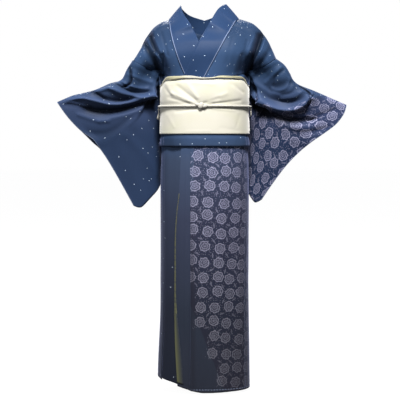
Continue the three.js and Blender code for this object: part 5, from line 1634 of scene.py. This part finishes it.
# The stage, in metres: the floor's height and half size, the camera's place and what it looks at.
FLOOR_Z, FLOOR_REACH = -1.322, 30.0
CAMERA_X, CAMERA_Z, AIM_Z, LIGHT_AIM_Z = -0.0144, -0.4176, -0.6336, -0.35
SENSOR, FRAMED, FRAMED_FROM = 36.0, 1.44, 4.305  # the sensor in mm, the height seen at that distance


class KIMONO_OT_stage(bpy.types.Operator):
    """Makes the pale floor, the soft light and the camera"""

    bl_idname = "kimono.stage"
    bl_label = "Stage"

    def execute(self, context):
        settings = context.scene.kimono_stage
        mesh = bpy.data.meshes.new("floor")
        corners = [(x, y, FLOOR_Z) for x, y in ((-1, -1), (1, -1), (1, 1), (-1, 1))]
        mesh.from_pydata([(x * FLOOR_REACH, y * FLOOR_REACH, z) for x, y, z in corners], [], [(0, 1, 2, 3)])
        floor = bpy.data.objects.new("floor", mesh)
        context.scene.collection.objects.link(floor)
        shade = Shade("Floor")
        shade.surface.inputs["Base Color"].default_value = (*settings.floor, 1)
        shade.surface.inputs["Emission Color"].default_value = (1, 1, 1, 1)
        shade.surface.inputs["Emission Strength"].default_value = 0.97
        shade.surface.inputs["Roughness"].default_value = 0.9
        shade.surface.inputs["Specular IOR Level"].default_value = 0.0
        mesh.materials.append(shade.material)
        # The floor gives the garment little light of its own, as the white of a wide studio does.
        floor.visible_diffuse = False

        world = bpy.data.worlds.new("Studio")
        context.scene.world = world
        world.use_nodes = True
        tree = world.node_tree
        sky = tree.nodes["Background"]
        sky.inputs["Strength"].default_value = settings.ambient
        # The room is white at eye level, dimmer overhead and dark below the floor.
        way, part = tree.nodes.new("ShaderNodeTexCoord"), tree.nodes.new("ShaderNodeSeparateXYZ")
        shares = tree.nodes.new("ShaderNodeMapRange")
        tone = tree.nodes.new("ShaderNodeValToRGB")
        tree.links.new(way.outputs["Generated"], part.inputs[0])
        tree.links.new(part.outputs["Z"], shares.inputs["Value"])
        shares.inputs["From Min"].default_value = -1
        tree.links.new(shares.outputs["Result"], tone.inputs[0])
        set_ramp(tone.color_ramp, [
            (0.46, (0.05, 0.05, 0.055)), (0.485, (1, 1, 1)), (0.565, (1, 1, 1)), (0.66, (0.26, 0.27, 0.29))])
        tree.links.new(tone.outputs[0], sky.inputs["Color"])

        aim = Vector((0, 0, LIGHT_AIM_Z))
        for name, where, size, power, colour in (
                ("key", (0.12, -2.6, 2.7), 0.9, settings.key, (1, 0.985, 0.96)),
                ("fill", (-2.6, -2.6, 1.0), 1.4, settings.key * 0.09, (0.97, 0.98, 1)),
                ("back", (-0.3, 2.7, 2.6), 1.4, settings.key * 0.3, (1, 1, 1))):
            lamp = bpy.data.lights.new(name, "AREA")
            lamp.shape, lamp.size, lamp.energy, lamp.color = "SQUARE", size, power, colour
            light = bpy.data.objects.new(name, lamp)
            light.location = where
            light.rotation_euler = (aim - light.location).to_track_quat("-Z", "Y").to_euler()
            context.scene.collection.objects.link(light)

        lens = bpy.data.cameras.new("camera")
        lens.sensor_width, lens.lens = SENSOR, SENSOR * FRAMED_FROM / FRAMED
        camera = bpy.data.objects.new("camera", lens)
        camera.location = (CAMERA_X, -settings.distance, CAMERA_Z)
        aim = Vector((CAMERA_X, 0, AIM_Z))
        camera.rotation_euler = (aim - camera.location).to_track_quat("-Z", "Y").to_euler()
        context.scene.collection.objects.link(camera)
        context.scene.camera = camera
        context.scene.view_settings.view_transform = "Standard"
        return {"FINISHED"}


class KIMONO_PT_panel(bpy.types.Panel):
    """Lists the kimono's pieces and settings"""

    bl_idname = "KIMONO_PT_panel"
    bl_label = "Houmongi kimono"
    bl_space_type = "VIEW_3D"
    bl_region_type = "UI"
    bl_category = "Kimono"

    def draw(self, context):
        for operator in OPERATORS:
            self.layout.operator(operator.bl_idname)
        for group in (context.scene.kimono_silk, context.scene.kimono_obi, context.scene.kimono_stage):
            box = self.layout.box()
            for name in group.bl_rna.properties.keys():
                if name not in ("rna_type", "name"):
                    box.prop(group, name)


# In the order in which they make the pieces.
OPERATORS = (KIMONO_OT_skirt, KIMONO_OT_body, KIMONO_OT_sleeves, KIMONO_OT_collar, KIMONO_OT_obi,
             KIMONO_OT_obiage, KIMONO_OT_cord, KIMONO_OT_bow, KIMONO_OT_stage)
GROUPS = {"kimono_silk": KimonoSilk, "kimono_obi": KimonoObi, "kimono_stage": KimonoStage}


def register():
    for name, group in GROUPS.items():
        bpy.utils.register_class(group)
        setattr(bpy.types.Scene, name, PointerProperty(type=group))
    for item in (*OPERATORS, KIMONO_PT_panel):
        bpy.utils.register_class(item)


def unregister():
    for item in (KIMONO_PT_panel, *reversed(OPERATORS)):
        bpy.utils.unregister_class(item)
    for name, group in reversed(GROUPS.items()):
        delattr(bpy.types.Scene, name)
        bpy.utils.unregister_class(group)


def main():
    """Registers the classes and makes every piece."""
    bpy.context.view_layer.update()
    register()
    for make in OPERATORS:
        getattr(bpy.ops.kimono, make.bl_idname.split(".")[1])()


if __name__ == "__main__":
    main()
